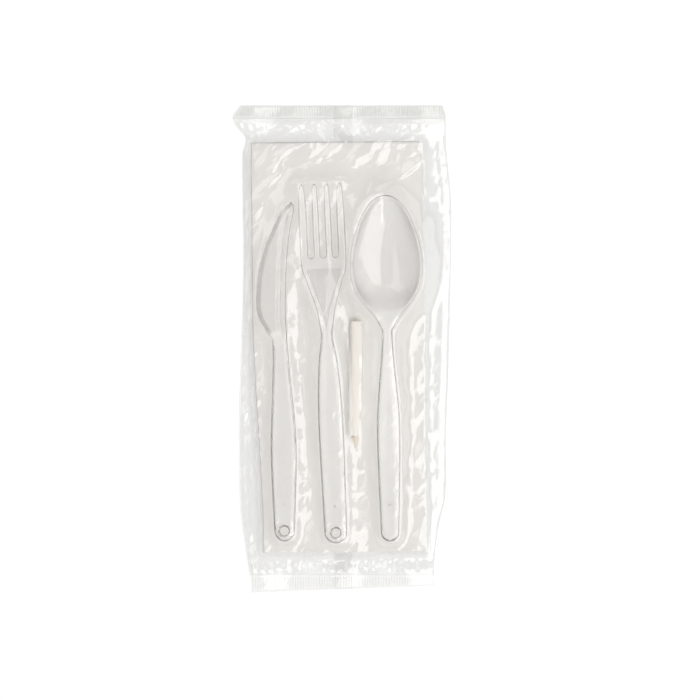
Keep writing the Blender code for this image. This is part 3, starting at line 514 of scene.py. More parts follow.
def hole_collar(x, y):
    """Height of the raised collar round the hang hole."""
    away = np.hypot(x - HOLE_AT[0], y - HOLE_AT[1])
    return COLLAR_HEIGHT * ease(0.0021, 0.0025, away) * (1 - ease(0.0028, 0.0034, away))


def set_corners(piece, name, values):
    """Stores a number at each corner of a piece, for its material."""
    piece.data.attributes.new(name, "FLOAT", "POINT").data.foreach_set("value", values)


def set_matt_and_shade(piece, at, turn, matt):
    """Stores at each corner how matt it is, which also greys it with painted shade: all of it in the pin
    mark, and what the given function gives elsewhere.
    """
    corners = np.array([v.co for v in piece.data.vertices]) - at
    x = corners[:, 0] * math.cos(turn) + corners[:, 1] * math.sin(turn)
    y = corners[:, 1] * math.cos(turn) - corners[:, 0] * math.sin(turn)
    set_corners(piece, "matt", np.maximum(matt(x, y), pin_mark(x, y) / PIN_MARK_DEPTH))


hole_loop = ring(HOLE_AT, HOLE_RADIUS)
hole_lines = [ring(HOLE_AT, radius) for radius in (0.0025, 0.0028, 0.0034)]
pin_lines = [ring(PIN_MARK_AT, radius, 14) for radius in (0.00045, 0.0008)]

clear_plastic, shader = new_material("clear_plastic")
flow = shader.noise(shader.here((1, 0.12, 1)), 260, 2.0)
ripple = shader.noise(shader.here(), 120, 1.0)
relief = shader.bump(flow * 0.6 + ripple, 0.00006, 0.5)
edge_on = shader.node("ShaderNodeLayerWeight", {}, {"Blend": 0.5}, out="Facing")
matt = shader.stored("matt")
# The plastic's colour turns near black where its surface is seen edge-on: painted shade for the dark lines
# along its edges and slopes.
tint_with_painted_shade = shader.blend(20.0 * edge_on ** 3, (1.0, 0.997, 0.992, 1), (0.12, 0.115, 0.11, 1))
# Where the stored share is high the colour turns grey, which is painted shade; the same share also roughens
# the plastic, a real finish.
tint_with_painted_shade = shader.blend(matt, tint_with_painted_shade, (0.66, 0.65, 0.64, 1))
rough = shader.ramp(flow, (0.3, 0.03), (0.8, 0.08)) + 0.2 * matt
moulded = shader.body({"Base Color": tint_with_painted_shade, "Roughness": rough, "IOR": 1.59, "Specular IOR Level": 0.2,
                       "Transmission Weight": 0.82, "Normal": relief})

# What light meets on its way to other pieces: nearly nothing, and a little grey at the edges
ray = shader.node("ShaderNodeLightPath", out="Is Shadow Ray")
light_through = shader.mixed(0.25 * edge_on ** 2, shader.clear(0.995, 0.992, 0.988),
                             shader.clear(0.25, 0.24, 0.235))
shader.surface(shader.mixed(ray.larger(ray.beside("Is Diffuse Ray")), moulded, light_through))


# Knife: a flat handle with a hang hole, and a thin blade with a bevel along its cutting edge, a stiffening
# rib along its back and a small notch where it meets the handle.

KNIFE_HANDLE_LENGTH = 0.0997
BLADE_LENGTH = 0.0664
BLADE_BELLY = 0.0138
SPINE_REACH = 0.00465
KNIFE_HALF = 0.0064
KNIFE_THICKNESS = 0.0034
BLADE_THICKNESS = 0.0015
CUTTING_EDGE_THICKNESS = 0.0006
BEVEL_WIDTH = 0.0027
RIB_WIDTH = 0.0021
RIB_THICKNESS = 0.0025
# The blade's flat is a little rougher and greyed with painted shade, and its bevel more so
BLADE_MATT_AND_SHADE = 0.16
KNIFE_PLACE = (CONTENTS_LEFT + 0.0156, CONTENTS_BOTTOM + 0.0056, CUTLERY_BOTTOM)
handle_left = smooth_curve(((0.0, 0.72), (0.09, 0.80), (0.25, 0.93), (0.45, 1.04), (0.6, 1.0), (0.75, 0.92),
                            (0.93, 0.88), (1.0, 0.92)))
handle_right = smooth_curve(((0.0, 0.78), (0.09, 0.83), (0.25, 0.90), (0.40, 0.95), (0.52, 0.90),
                             (0.65, 0.74), (0.80, 0.48), (0.95, 0.28), (1.0, 0.20)))
cutting_edge = smooth_curve(((0.0, 0.427), (0.012, 0.54), (0.075, 0.72), (0.135, 0.89), (0.20, 0.985),
                             (0.27, 1.0), (0.36, 0.98), (0.47, 0.93), (0.63, 0.755), (0.82, 0.384),
                             (0.92, 0.12), (0.97, -0.08), (1.0, -0.22)))
spine_line = smooth_curve(((0.0, 0.275), (0.16, 0.14), (0.32, 0.14), (0.56, 0.26), (0.69, 0.43),
                           (0.81, 0.65), (0.92, 0.94), (0.97, 1.0), (1.0, 0.72)))


def knife_sides(y):
    """Left and right edge at heights along the knife."""
    on_handle = y <= KNIFE_HANDLE_LENGTH
    share = y / KNIFE_HANDLE_LENGTH
    closing = round_end(y, HANDLE_END_RADIUS)
    along = (y - KNIFE_HANDLE_LENGTH) / BLADE_LENGTH
    left = np.where(on_handle, -KNIFE_HALF * handle_left(share) * closing,
                    -BLADE_BELLY * cutting_edge(along))
    right = np.where(on_handle, KNIFE_HALF * handle_right(share) * closing, SPINE_REACH * spine_line(along))
    return left, right


def knife_surfaces(x, y, from_rim):
    left, right = knife_sides(y)
    in_edge, in_back = x - left, right - x
    on_blade = ease(KNIFE_HANDLE_LENGTH - 0.006, KNIFE_HANDLE_LENGTH + 0.004, y)
    handle = handle_thickness(from_rim, KNIFE_THICKNESS)
    blade = CUTTING_EDGE_THICKNESS + (BLADE_THICKNESS - CUTTING_EDGE_THICKNESS) * ease(
        0, 1, in_edge / BEVEL_WIDTH)
    blade += (RIB_THICKNESS - BLADE_THICKNESS) * (1 - ease(RIB_WIDTH, RIB_WIDTH + 0.0004, in_back))
    thick = handle + (blade - handle) * on_blade
    middle = KNIFE_THICKNESS / 2
    return middle + thick / 2 + hole_collar(x, y) - pin_mark(x, y), middle - thick / 2


# How rough and how greyed with painted shade each place on the blade is: fully on the bevel, a little on the
# flat
def knife_matt_and_shade(x, y):
    on_bevel = 1 - ease(0.8 * BEVEL_WIDTH, BEVEL_WIDTH, x - knife_sides(y)[0])
    return np.maximum(on_bevel, BLADE_MATT_AND_SHADE) * ease(KNIFE_HANDLE_LENGTH, KNIFE_HANDLE_LENGTH + 0.004, y)


rows = np.r_[end_rows(HANDLE_END_RADIUS), np.arange(
    HANDLE_END_RADIUS, KNIFE_HANDLE_LENGTH + BLADE_LENGTH, RIM_STEP), KNIFE_HANDLE_LENGTH + BLADE_LENGTH]
blade_rows = rows[(rows > KNIFE_HANDLE_LENGTH - 0.004) & (rows < KNIFE_HANDLE_LENGTH + 0.93 * BLADE_LENGTH)]
blade_left, blade_right = knife_sides(blade_rows)
knife_lines = [np.column_stack((blade_left + d, blade_rows)) for d in (0.0012, 0.0024, 0.0028)]
knife_lines += [np.column_stack((blade_right - RIB_WIDTH - d, blade_rows))
                for d in (-0.0001, 0.0002, 0.0005)]
knife = moulding("clear_knife", [sides(rows, *knife_sides(rows)), hole_loop], knife_surfaces,
                 knife_lines + hole_lines + pin_lines, KNIFE_PLACE, 0.0, "knife")
set_matt_and_shade(knife, KNIFE_PLACE, 0.0, knife_matt_and_shade)


# Fork: four tines, a sunk three-cornered palm that runs down into the neck, and the same handle. It
# arches up at the neck, and its tines turn up again at their tips.

FORK_HANDLE_LENGTH = 0.1017
FORK_FLARE_LENGTH = 0.0380
TINE_LENGTH = 0.0362
FORK_LENGTH = FORK_HANDLE_LENGTH + FORK_FLARE_LENGTH + TINE_LENGTH
FORK_ROOT = FORK_HANDLE_LENGTH + FORK_FLARE_LENGTH
FORK_HEAD_HALF = 0.01115
FORK_NECK_HALF = 0.00295
FORK_HANDLE_HALF = 0.0061
FORK_THICKNESS = 0.0032
FORK_HEAD_THICKNESS = 0.0018
TINE_WIDTHS = (0.0037, 0.0030, 0.0030, 0.0037)
TINE_TIP_WIDTH = 0.0017
SLOT_WIDTH = (2 * FORK_HEAD_HALF - sum(TINE_WIDTHS)) / 3
FORK_NECK_HEIGHT = 0.0046
TINE_TIP_HEIGHT = 0.0042
PALM_DEPTH = 0.0006
PALM_STEP = 0.0006
PALM_TOP = FORK_ROOT - 0.0050
PALM_BOTTOM = PALM_TOP - 0.0330
PALM_RIM = 0.0021
# The palm's sunk floor is a little rougher and greyed with painted shade
PALM_MATT_AND_SHADE = 0.36
FORK_PLACE = (CONTENTS_LEFT + 0.041037, CONTENTS_BOTTOM + 0.0047, CUTLERY_BOTTOM)
FORK_TURN = math.radians(2.6)
fork_handle_outline = smooth_curve(((0.0, 0.80), (0.10, 0.86), (0.26, 0.92), (0.46, 1.0), (0.59, 1.0),
                                    (0.74, 0.84), (0.89, 0.46), (1.0, 0.0)))
fork_flare_outline = smooth_curve(((0.0, 0.0), (0.22, 0.11), (0.39, 0.25), (0.54, 0.47), (0.71, 0.725),
                                   (0.82, 0.91), (0.92, 0.985), (1.0, 1.0)))
fork_profile = smooth_curve(((0.0, 0.0), (0.2, 0.17), (0.4, 0.66), (0.52, 0.97), (0.58, 1.0), (0.66, 0.72),
                             (0.74, 0.2), (0.80, 0.0)))


def fork_half(y):
    handle = FORK_NECK_HALF + (FORK_HANDLE_HALF - FORK_NECK_HALF) * fork_handle_outline(
        y / FORK_HANDLE_LENGTH)
    flare = FORK_NECK_HALF + (FORK_HEAD_HALF - FORK_NECK_HALF) * fork_flare_outline(
        np.minimum((y - FORK_HANDLE_LENGTH) / FORK_FLARE_LENGTH, 1.0))
    return np.where(y <= FORK_HANDLE_LENGTH, handle * round_end(y, HANDLE_END_RADIUS), flare)


def palm_half(y):
    """Half width of the sunk palm at a height along the fork."""
    return np.maximum(fork_half(y) - PALM_RIM, 0) * ease(PALM_BOTTOM, PALM_BOTTOM + 0.02, y) ** 0.5


def in_palm(x, y):
    """1 on the sunk floor of the palm, 0 outside it, and between them on its step."""
    return ease(0, 1, (palm_half(y) - np.abs(x)) / PALM_STEP) * (1 - ease(PALM_TOP - PALM_STEP, PALM_TOP, y))


def fork_surfaces(x, y, from_rim):
    middle = FORK_NECK_HEIGHT * fork_profile(y / FORK_LENGTH) + FORK_THICKNESS / 2
    on_tines = np.maximum((y - FORK_ROOT) / TINE_LENGTH, 0.0)
    middle = middle + TINE_TIP_HEIGHT * on_tines ** 1.6
    on_head = ease(FORK_HANDLE_LENGTH, PALM_BOTTOM + 0.012, y)
    handle = handle_thickness(from_rim, FORK_THICKNESS)
    thick = handle + (FORK_HEAD_THICKNESS * (1 - 0.35 * ease(0.5, 1.0, on_tines)) - handle) * on_head
    top = middle + thick / 2 - PALM_DEPTH * in_palm(x, y)
    top += hole_collar(x, y) - pin_mark(x, y)
    return top, middle - thick / 2


def fork_outline():
    """The handle's and neck's right side, each tine from the right, and the left side down again."""
    rows = np.r_[end_rows(HANDLE_END_RADIUS), np.arange(HANDLE_END_RADIUS, FORK_ROOT, RIM_STEP), FORK_ROOT]
    half = fork_half(rows)
    t = np.r_[np.linspace(0, 0.96, 60), 0.96 + 0.04 * np.sin(np.linspace(0, np.pi / 2, 9))[1:]]
    tapering = ease(0.55, 1.0, t) * 0.6 + ease(0.9, 1.0, t) * 0.4
    closing = np.sqrt(np.maximum(0, 1 - np.maximum((t - 0.96) / 0.04, 0) ** 2))
    tines, x = [], -FORK_HEAD_HALF
    for width in TINE_WIDTHS:
        middle = x + width / 2
        tine_half = (width + (TINE_TIP_WIDTH - width) * tapering) / 2 * closing
        tines.append((middle - tine_half, middle + tine_half))
        x += width + SLOT_WIDTH
    heights = FORK_ROOT + TINE_LENGTH * t
    radius = SLOT_WIDTH / 2
    above = heights > FORK_ROOT + radius
    line = [np.column_stack((half, rows))]
    for k in (3, 2, 1, 0):
        left, right = tines[k]
        use_right = slice(1, None) if k == 3 else above
        use_left = slice(1, -1) if k == 0 else np.r_[above[:-1], False]
        line.append(np.column_stack((right[use_right], heights[use_right])))
        line.append(np.column_stack((left[use_left], heights[use_left]))[::-1])
        if k:
            centre = left[0] - radius
            a = np.linspace(0, -np.pi, 13)
            line.append(np.column_stack((centre + radius * np.cos(a),
                                         FORK_ROOT + radius + radius * np.sin(a))))
    line.append(np.column_stack((-half, rows))[::-1])
    return np.vstack(line)


palm_rows = np.arange(PALM_BOTTOM + 0.001, PALM_TOP, 0.0005)
fork_lines = [np.column_stack((side * (palm_half(palm_rows) - d), palm_rows))
              for side in (-1, 1) for d in (-0.0001, 0.0001, 0.0003, 0.0005, 0.0007)]
palm_edge = np.linspace(-1, 1, 40) * palm_half(np.array(PALM_TOP))
fork_lines += [np.column_stack((palm_edge, np.full(len(palm_edge), PALM_TOP - d)))
               for d in (-0.0001, 0.00025, 0.0006)]
fork = moulding("clear_fork", [fork_outline(), hole_loop], fork_surfaces,
                fork_lines + hole_lines + pin_lines, FORK_PLACE, FORK_TURN, "fork")
set_matt_and_shade(fork, FORK_PLACE, FORK_TURN, lambda x, y: PALM_MATT_AND_SHADE * in_palm(x, y))


# Spoon: an egg-shaped bowl with a narrow lip, and a plain handle with a rounded end. Unlike the knife and
# the fork it has no hang hole.

SPOON_HANDLE_LENGTH = 0.1037
BOWL_LENGTH = 0.0656
BOWL_HALF = 0.0176
BOWL_DEPTH = 0.0066
BOWL_WALL = 0.0011
BOWL_LIP = 0.0009
SPOON_LENGTH = SPOON_HANDLE_LENGTH + BOWL_LENGTH
SPOON_NECK_HALF = 0.0026
SPOON_HANDLE_HALF = 0.0057
SPOON_END_HALF = 0.0041
SPOON_THICKNESS = 0.0032
BOWL_WIDEST = 0.51
BOWL_TIP_LENGTH = 0.004
SPOON_PLACE = (CONTENTS_LEFT + 0.067375, CONTENTS_BOTTOM + 0.0056, CUTLERY_BOTTOM + 0.0011)
SPOON_TURN = math.radians(0.85)
bowl_outline = smooth_curve(((0.0, 0.18), (0.08, 0.31), (0.14, 0.48), (0.215, 0.71), (0.29, 0.88),
                             (0.40, 0.99), (0.51, 1.0)))
spoon_profile = smooth_curve(((0.0, 0.0), (0.2, 0.14), (0.42, 0.62), (0.56, 1.02), (0.63, 1.12),
                              (0.72, 1.03), (0.85, 0.98), (1.0, 0.97)))


def spoon_half(y):
    """Half width at heights along the spoon."""
    widest = 0.52 * SPOON_HANDLE_LENGTH
    near = SPOON_END_HALF + (SPOON_HANDLE_HALF - SPOON_END_HALF) * ease(-0.3 * widest, widest, y)
    closing = 1 - ease(widest, SPOON_HANDLE_LENGTH, y)
    far = SPOON_NECK_HALF + (SPOON_HANDLE_HALF - SPOON_NECK_HALF) * closing
    handle = np.where(y < widest, near, far) * round_end(y, SPOON_END_HALF)
    t = (y - SPOON_HANDLE_LENGTH) / BOWL_LENGTH
    tip = np.sqrt(np.maximum(0, 1 - np.clip((t - BOWL_WIDEST) / (1 - BOWL_WIDEST), 0, 1) ** 1.5))
    bowl = np.maximum(BOWL_HALF * np.where(t > BOWL_WIDEST, tip, bowl_outline(t)),
                      SPOON_NECK_HALF * (1 - ease(0.0, 0.15, t)))
    return np.where(y <= SPOON_HANDLE_LENGTH, handle, bowl)


def spoon_surfaces(x, y, from_rim):
    half = np.maximum(spoon_half(y), 1e-5)
    t = (y - SPOON_HANDLE_LENGTH) / BOWL_LENGTH
    in_bowl = ease(0.06, 0.34, t) * (1 - np.clip((t - 0.48) / 0.52, 0, 1) ** 3)
    lip = 1 - np.minimum(BOWL_LIP / half, 0.2)
    inside = np.minimum(np.abs(x) / half / lip, 1.0)
    hollow = BOWL_DEPTH * in_bowl * (1 - inside ** 2.2)
    on_handle = 1 - ease(SPOON_HANDLE_LENGTH - 0.004, SPOON_HANDLE_LENGTH + 0.012, y)
    handle = handle_thickness(from_rim, SPOON_THICKNESS)
    thick = BOWL_WALL + (handle - BOWL_WALL) * on_handle
    middle = BOWL_DEPTH * spoon_profile(y / SPOON_LENGTH) + SPOON_THICKNESS / 2 - hollow
    return middle + thick / 2 - pin_mark(x, y), middle - thick / 2


tip = SPOON_LENGTH - BOWL_TIP_LENGTH
rows = np.r_[end_rows(SPOON_END_HALF), np.arange(SPOON_END_HALF, tip, RIM_STEP),
             tip + BOWL_TIP_LENGTH * np.sin(np.pi / 2 * np.arange(1, 25) / 24)]
half = spoon_half(rows)
bowl_rows = rows[(rows > SPOON_HANDLE_LENGTH + 0.008) & (rows < SPOON_LENGTH - 0.0015)]
bowl_half = spoon_half(bowl_rows)
spoon_lines = [np.column_stack((side * np.maximum(bowl_half - BOWL_LIP - d, 0), bowl_rows))
               for side in (-1, 1) for d in (0.0, 0.0003)]
spoon = moulding("clear_spoon", [sides(rows[:-1], -half[:-1], half[:-1])], spoon_surfaces,
                 spoon_lines + pin_lines, SPOON_PLACE, SPOON_TURN, "spoon")
set_matt_and_shade(spoon, SPOON_PLACE, SPOON_TURN, lambda x, y: 0.0)


# Toothpick: a turned birch pick, pointed at both ends. It lies between the handles of fork and spoon, in a
# paper sleeve.

PICK_LENGTH = 0.0640
PICK_RADIUS = 0.0010
PICK_POINT = 0.0070
SLEEVE_PAPER = 0.00012
SLEEVE_INSIDE = 0.0026
PICK_PLACE = (CONTENTS_LEFT + 0.050046, CONTENTS_BOTTOM + 0.0517, CUTLERY_BOTTOM)
SLEEVE_TURN = math.radians(-0.6)
pick_share = smooth_curve(((0.0, 0.10), (0.4 * PICK_POINT, 0.62), (PICK_POINT, 1.0),
                           (0.5 * PICK_LENGTH, 1.0), (PICK_LENGTH - PICK_POINT, 1.0),
                           (PICK_LENGTH - 0.4 * PICK_POINT, 0.62), (PICK_LENGTH, 0.10)))


def turned_rod(stations, radii, height, count):
    """Points and faces of a closed turned rod along Y."""
    a = 2 * np.pi * np.arange(count) / count
    points = [(r * math.cos(b), y, height + r * math.sin(b)) for y, r in zip(stations, radii) for b in a]
    faces = tube_faces(len(stations), count)
    faces += [tuple(range(count))[::-1], tuple((len(stations) - 1) * count + i for i in range(count))]
    return points, [face[::-1] for face in faces]


birch, shader = new_material("birch_wood")
grain = shader.noise(shader.here((1, 0.03, 1)), 3000, 4.0, 0.6)
wood = shader.blend(shader.ramp(grain, (0.35, 0.0), (0.7, 1.0)), tone(226, 206, 176), tone(242, 228, 204))
shader.surface(shader.body({"Base Color": wood, "Roughness": 0.62, "Normal": shader.bump(grain, 0.00004)}))
stations = np.r_[np.linspace(0, PICK_POINT, 12), np.linspace(PICK_POINT, PICK_LENGTH - PICK_POINT, 30)[1:],
                 np.linspace(PICK_LENGTH - PICK_POINT, PICK_LENGTH, 12)[1:]]
points, faces = turned_rod(stations, PICK_RADIUS * pick_share(stations),
                           SLEEVE_PAPER + SLEEVE_INSIDE / 2, 24)
pick = place_piece("birch_toothpick", points, faces, birch, PICK_PLACE, SLEEVE_TURN, 50)
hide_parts("toothpick")


# Sleeve: a strip of white paper folded and glued to a flat tube, pressed flat beside the pick and open at
# its two ends.

SLEEVE_START = 0.0055
SLEEVE_LENGTH = 0.0560
SLEEVE_HALF = 0.0030
SLEEVE_LEAST_GAP = 0.00005
SLEEVE_DRAWN_IN = 0.0012
sleeve_rise = smooth_curve(((-1.0, 0.03), (-0.93, 0.30), (-0.78, 0.72), (-0.5, 0.93), (0.0, 1.0),
                            (0.5, 0.93), (0.78, 0.72), (0.93, 0.30), (1.0, 0.03)))
sleeve_paper, shader = new_material("white_sleeve_paper")
pulp = shader.noise(shader.here(), 1500, 3.0, 0.6)
colour = shader.blend(pulp, tone(246, 240, 232), tone(253, 249, 244))
shader.surface(shader.body({"Base Color": colour, "Roughness": 0.45, "Specular IOR Level": 0.5,
                            "Normal": shader.bump(pulp, 0.00003)}))
across = np.sin(np.linspace(-np.pi / 2, np.pi / 2, 33))
points, faces = [], []
lengths = np.linspace(0, SLEEVE_LENGTH, 57)
for y in lengths:
    drawn_in = SLEEVE_DRAWN_IN * float(ease(-0.018, 0.0, -y))
    half_now = SLEEVE_HALF * (1 + 0.006 * math.sin(300 * y))
    x = half_now * across - drawn_in * ease(0, 1, across)
    crease = 0.00008 * np.sin(420 * y + 3 * across) * (1 - np.abs(across))
    upper = SLEEVE_PAPER + SLEEVE_INSIDE * sleeve_rise(across) + crease
    inner = [(a, max(b, SLEEVE_PAPER + SLEEVE_LEAST_GAP)) for a, b in zip(x, upper)]
    inner += [(a, SLEEVE_PAPER) for a in x[::-1]]
    outer = [(a * (1 + SLEEVE_PAPER / SLEEVE_HALF), b + SLEEVE_PAPER) for a, b in zip(x, upper)]
    outer += [(a * (1 + SLEEVE_PAPER / SLEEVE_HALF), 0.0) for a in x[::-1]]
    points += [(a, SLEEVE_START + y, b) for a, b in inner + outer]
count = 2 * len(across)
for k in range(len(lengths) - 1):
    for i in range(count):
        j = (i + 1) % count
        near, far = 2 * count * k, 2 * count * (k + 1)
        faces.append((near + i, near + j, far + j, far + i))
        faces.append((near + count + j, near + count + i, far + count + i, far + count + j))
for k, turned in ((0, False), (len(lengths) - 1, True)):
    for i in range(count):
        j, base = (i + 1) % count, 2 * count * k
        face = (base + j, base + i, base + count + i, base + count + j)
        faces.append(face[::-1] if turned else face)
sleeve = place_piece("paper_sleeve", points, faces, sleeve_paper, PICK_PLACE,
                     SLEEVE_TURN, 50)
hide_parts("toothpick_sleeve")


# Film pack: one web of clear film, formed to a tube, with a fin seal folded flat under it, a vent hole in
# its underside and a crimped seal across each end. The upper panel hangs limp over what is inside, with
# creases, gathers at the seals and a fine crumple, and never touches it.

PACK_WIDTH = 0.1070
PACK_LENGTH = 0.2384
FILM_THICKNESS = 0.00005
TOP_SEAL = 0.0059
BOTTOM_SEAL = 0.0083
BOTTOM_START = PACK_LENGTH - BOTTOM_SEAL
CUT_SLANT = 0.0034
EDGE_WANDER = 0.0088
SEAM_X = 0.0048
FIN_WIDTH = 0.0090
UNDER_FIN = 0.0001
OVER_FIN = 0.0004
SIDE_FOLD = 0.0006
FUSED = FILM_THICKNESS * 0.4
TABLE_GAP = 0.00002
SEAL_LEVEL = 0.0017
SEAL_WAVE = 0.0009
TOP_RISE = 0.0094
BOTTOM_RISE = 0.0090
FILM_CLEARANCE = 0.00035
SAG = 0.000016
BOWL_AT = (0.0215, 0.0424)
VENT_RADIUS = 0.0010
VENT_AT = (-0.0250, 0.0412)
UPPER_COLUMNS = 136
LOWER_COLUMNS = 24
SEAL_COLUMNS = 120
FILM_ROWS = 284
FIN_COLUMNS = 12
left_edge = smooth_curve(((0.0, 0.39), (0.02, 0.0), (0.042, 0.14), (0.066, 0.67), (0.103, 0.50),
                          (0.32, 0.56), (0.52, 0.42), (0.67, 0.33), (0.82, 0.39), (0.89, 0.61), (1.0, 1.0)))
right_edge = smooth_curve(((0.0, 0.50), (0.02, 0.33), (0.08, 0.31), (0.18, 0.05), (0.23, 0.0), (0.32, 0.03),
                           (0.56, 0.19), (0.67, 0.31), (0.80, 0.34), (0.86, 0.69), (0.92, 0.92),
                           (1.0, 0.98)))


def film_sides(down):
    """Left and right side at a distance down from the top cut."""
    share = down / PACK_LENGTH
    return (-PACK_WIDTH / 2 + EDGE_WANDER * left_edge(share),
            PACK_WIDTH / 2 - EDGE_WANDER * right_edge(share))


def seal_height(u):
    """The end seals stand in a shallow wave across the pack."""
    return SEAL_LEVEL + SEAL_WAVE * np.sin(2 * np.pi * (2.5 * u + 0.15))


def film_place(down, u):
    """Places on the film for distances from the top cut, and shares of the width from the left."""
    left, right = film_sides(down)
    x = left + (right - left) * u
    y = PACK_LENGTH / 2 - down + CUT_SLANT * u * ease(BOTTOM_START, PACK_LENGTH, down)
    return x, y


def contents_height(x, y):
    """Highest point of the pieces inside, seen from above, at each place."""
    trees = []
    for piece in (napkin, knife, fork, spoon, pick, sleeve):
        mesh = piece.data
        trees.append(BVHTree.FromPolygons([v.co for v in mesh.vertices],
                                          [tuple(p.vertices) for p in mesh.polygons]))
    found = np.zeros(x.shape)
    down = Vector((0, 0, -1))
    for i in np.ndindex(x.shape):
        for tree in trees:
            hit = tree.ray_cast(Vector((x[i], y[i], 0.1)), down)[0]
            if hit and hit.z > found[i]:
                found[i] = hit.z
    return found


def widened(field, times=1):
    """Each cell takes the highest value round it."""
    for _ in range(times):
        padded = np.pad(field, 1, mode="edge")
        field = np.max([padded[a:a + field.shape[0], b:b + field.shape[1]]
                        for a in range(3) for b in range(3)], axis=0)
    return field


def mean_beside(field):
    """Each inner cell's mean of the four cells beside it."""
    return (field[:-2, 1:-1] + field[2:, 1:-1] + field[1:-1, :-2] + field[1:-1, 2:]) / 4


def laid_over(obstacle, edge, sag):
    """Height of a slack film that is held at its border, sags and rests on the obstacle."""
    z = np.maximum(edge, obstacle)
    for step in (16, 8, 4, 2, 1):
        rows = np.unique(np.r_[np.arange(0, z.shape[0], step), z.shape[0] - 1])
        columns = np.unique(np.r_[np.arange(0, z.shape[1], step), z.shape[1] - 1])
        coarse = z[np.ix_(rows, columns)]
        highest = widened(obstacle, step // 2)[np.ix_(rows, columns)]
        weight = sag[np.ix_(rows, columns)][1:-1, 1:-1] * step * step
        for _ in range(500 if step > 2 else 160):
            coarse[1:-1, 1:-1] = np.maximum(mean_beside(coarse) - weight, highest[1:-1, 1:-1])
        if step > 1:
            part = np.array([np.interp(np.arange(z.shape[1]), columns, row) for row in coarse])
            full = np.array([np.interp(np.arange(z.shape[0]), rows, column) for column in part.T]).T
            z[1:-1, 1:-1] = full[1:-1, 1:-1]
        else:
            z = coarse
    return z


def facets(x, y, spacing, stretch, lean, seed):
    """Heights from 0 to 1 on flat three-cornered facets that are stretched along a direction."""
    draw = np.random.default_rng(seed)
    along = (x * math.cos(lean) + y * math.sin(lean)) / stretch
    across = y * math.cos(lean) - x * math.sin(lean)
    places = np.arange(-0.135, 0.136, spacing)
    grid = np.array([(a, b) for a in places for b in places])
    grid += draw.uniform(-0.42, 0.42, grid.shape) * spacing
    found = delaunay_2d_cdt([Vector(p) for p in grid.tolist()], [], [], 0, 1e-7)
    heights = draw.random(len(found[0]))
    tree = BVHTree.FromPolygons([Vector((v[0], v[1], h)) for v, h in zip(found[0], heights)], found[2])
    down, out = Vector((0, 0, -1)), np.zeros(x.shape)
    for i in np.ndindex(x.shape):
        out[i] = tree.ray_cast(Vector((along[i], across[i], 2.0)), down)[0].z
    return out


# Long creases: from, to, height and width, in millimetres on the pack
CREASES = (
    (-46, 97, -16, 112, 0.7, 2.2), (-36, 92, -8, 108, 0.6, 2.0), (-24, 84, 4, 104, 0.6, 2.4),
    (4, 100, -10, 110, 0.8, 2.4), (6, 102, 22, 111, 0.6, 2.0), (24, 98, 44, 110, 0.7, 2.2),
    (20, 76, 40, 91, 0.9, 2.6), (40, 90, 51, 104, 0.6, 1.8), (43, 72, 51, 84, 0.6, 2.0),
    (42, 56, 52, 60, 0.5, 1.6), (41, 30, 51, 24, 0.5, 1.8), (42, -8, 50, -14, 0.5, 1.6),
    (41, -40, 50, -46, 0.6, 1.8), (36, -74, 48, -66, 0.7, 2.0), (24, -84, 46, -70, 0.7, 2.4),
    (-50, 62, -42, 54, 0.5, 1.5), (-51, 20, -43, 26, 0.5, 1.6), (-50, -30, -42, -22, 0.5, 1.5),
    (-49, -66, -40, -60, 0.6, 1.8), (-46, -98, -20, -107, 0.7, 2.0), (-14, -104, 8, -99, 0.6, 1.8),
    (10, -106, 30, -98, 0.7, 2.0), (26, -108, 42, -99, 0.6, 1.8), (-38, -100, -30, -110, 0.5, 1.5),
    (-20, -60, -6, -40, 0.4, 2.2), (8, -96, 14, -62, 0.4, 2.4), (-18, 10, -10, 34, 0.4, 2.0),
    (-42, 76, -28, 88, 0.5, 2.0), (-10, 84, 12, 80, 0.5, 2.0), (2, 64, 10, 90, 0.4, 1.8),
)


def creased(x, y):
    """Height that the long creases add."""
    added = np.zeros(x.shape)
    for x0, y0, x1, y1, height, width in CREASES:
        dx, dy = (x1 - x0) / 1000, (y1 - y0) / 1000
        t = ((x - x0 / 1000) * dx + (y - y0 / 1000) * dy) / (dx * dx + dy * dy)
        off = np.abs((x - x0 / 1000) * dy - (y - y0 / 1000) * dx) / math.hypot(dx, dy)
        fall = np.clip(1 - off / (width / 1000), 0, 1) * ease(-0.05, 0.3, t) * (1 - ease(0.7, 1.05, t))
        added = np.maximum(added, height / 1000 * fall)
    return added


def lower_height(down, x):
    """Height of the underside's film: flat on the table, over the fin, and up to the end seals."""
    over_fin = ease(SEAM_X - FIN_WIDTH - 0.0012, SEAM_X - FIN_WIDTH, x)
    over_fin = over_fin * (1 - ease(SEAM_X, SEAM_X + 0.0006, x))
    flat = FILM_THICKNESS + TABLE_GAP + OVER_FIN * over_fin
    rising = np.maximum(1 - ease(TOP_SEAL, TOP_SEAL + TOP_RISE, down),
                        ease(BOTTOM_START - BOTTOM_RISE, BOTTOM_START, down))
    left, right = film_sides(down)
    seal = seal_height((x - left) / (right - left))
    return flat + (seal - FUSED - flat) * rising


down = np.linspace(TOP_SEAL, BOTTOM_START, FILM_ROWS + 1)[:, None]
u = np.linspace(0, 1, UPPER_COLUMNS + 1)[None, :]
film_x, film_y = film_place(down, u)
below = lower_height(down, film_x)
held = below + SIDE_FOLD
held[0] = held[-1] = seal_height(u[0]) + FUSED
obstacle = contents_height(film_x, film_y)
obstacle = np.where(obstacle > 0, widened(obstacle, 1) + FILM_CLEARANCE, 0)
obstacle = np.maximum(widened(obstacle, 1), below + 0.0003)

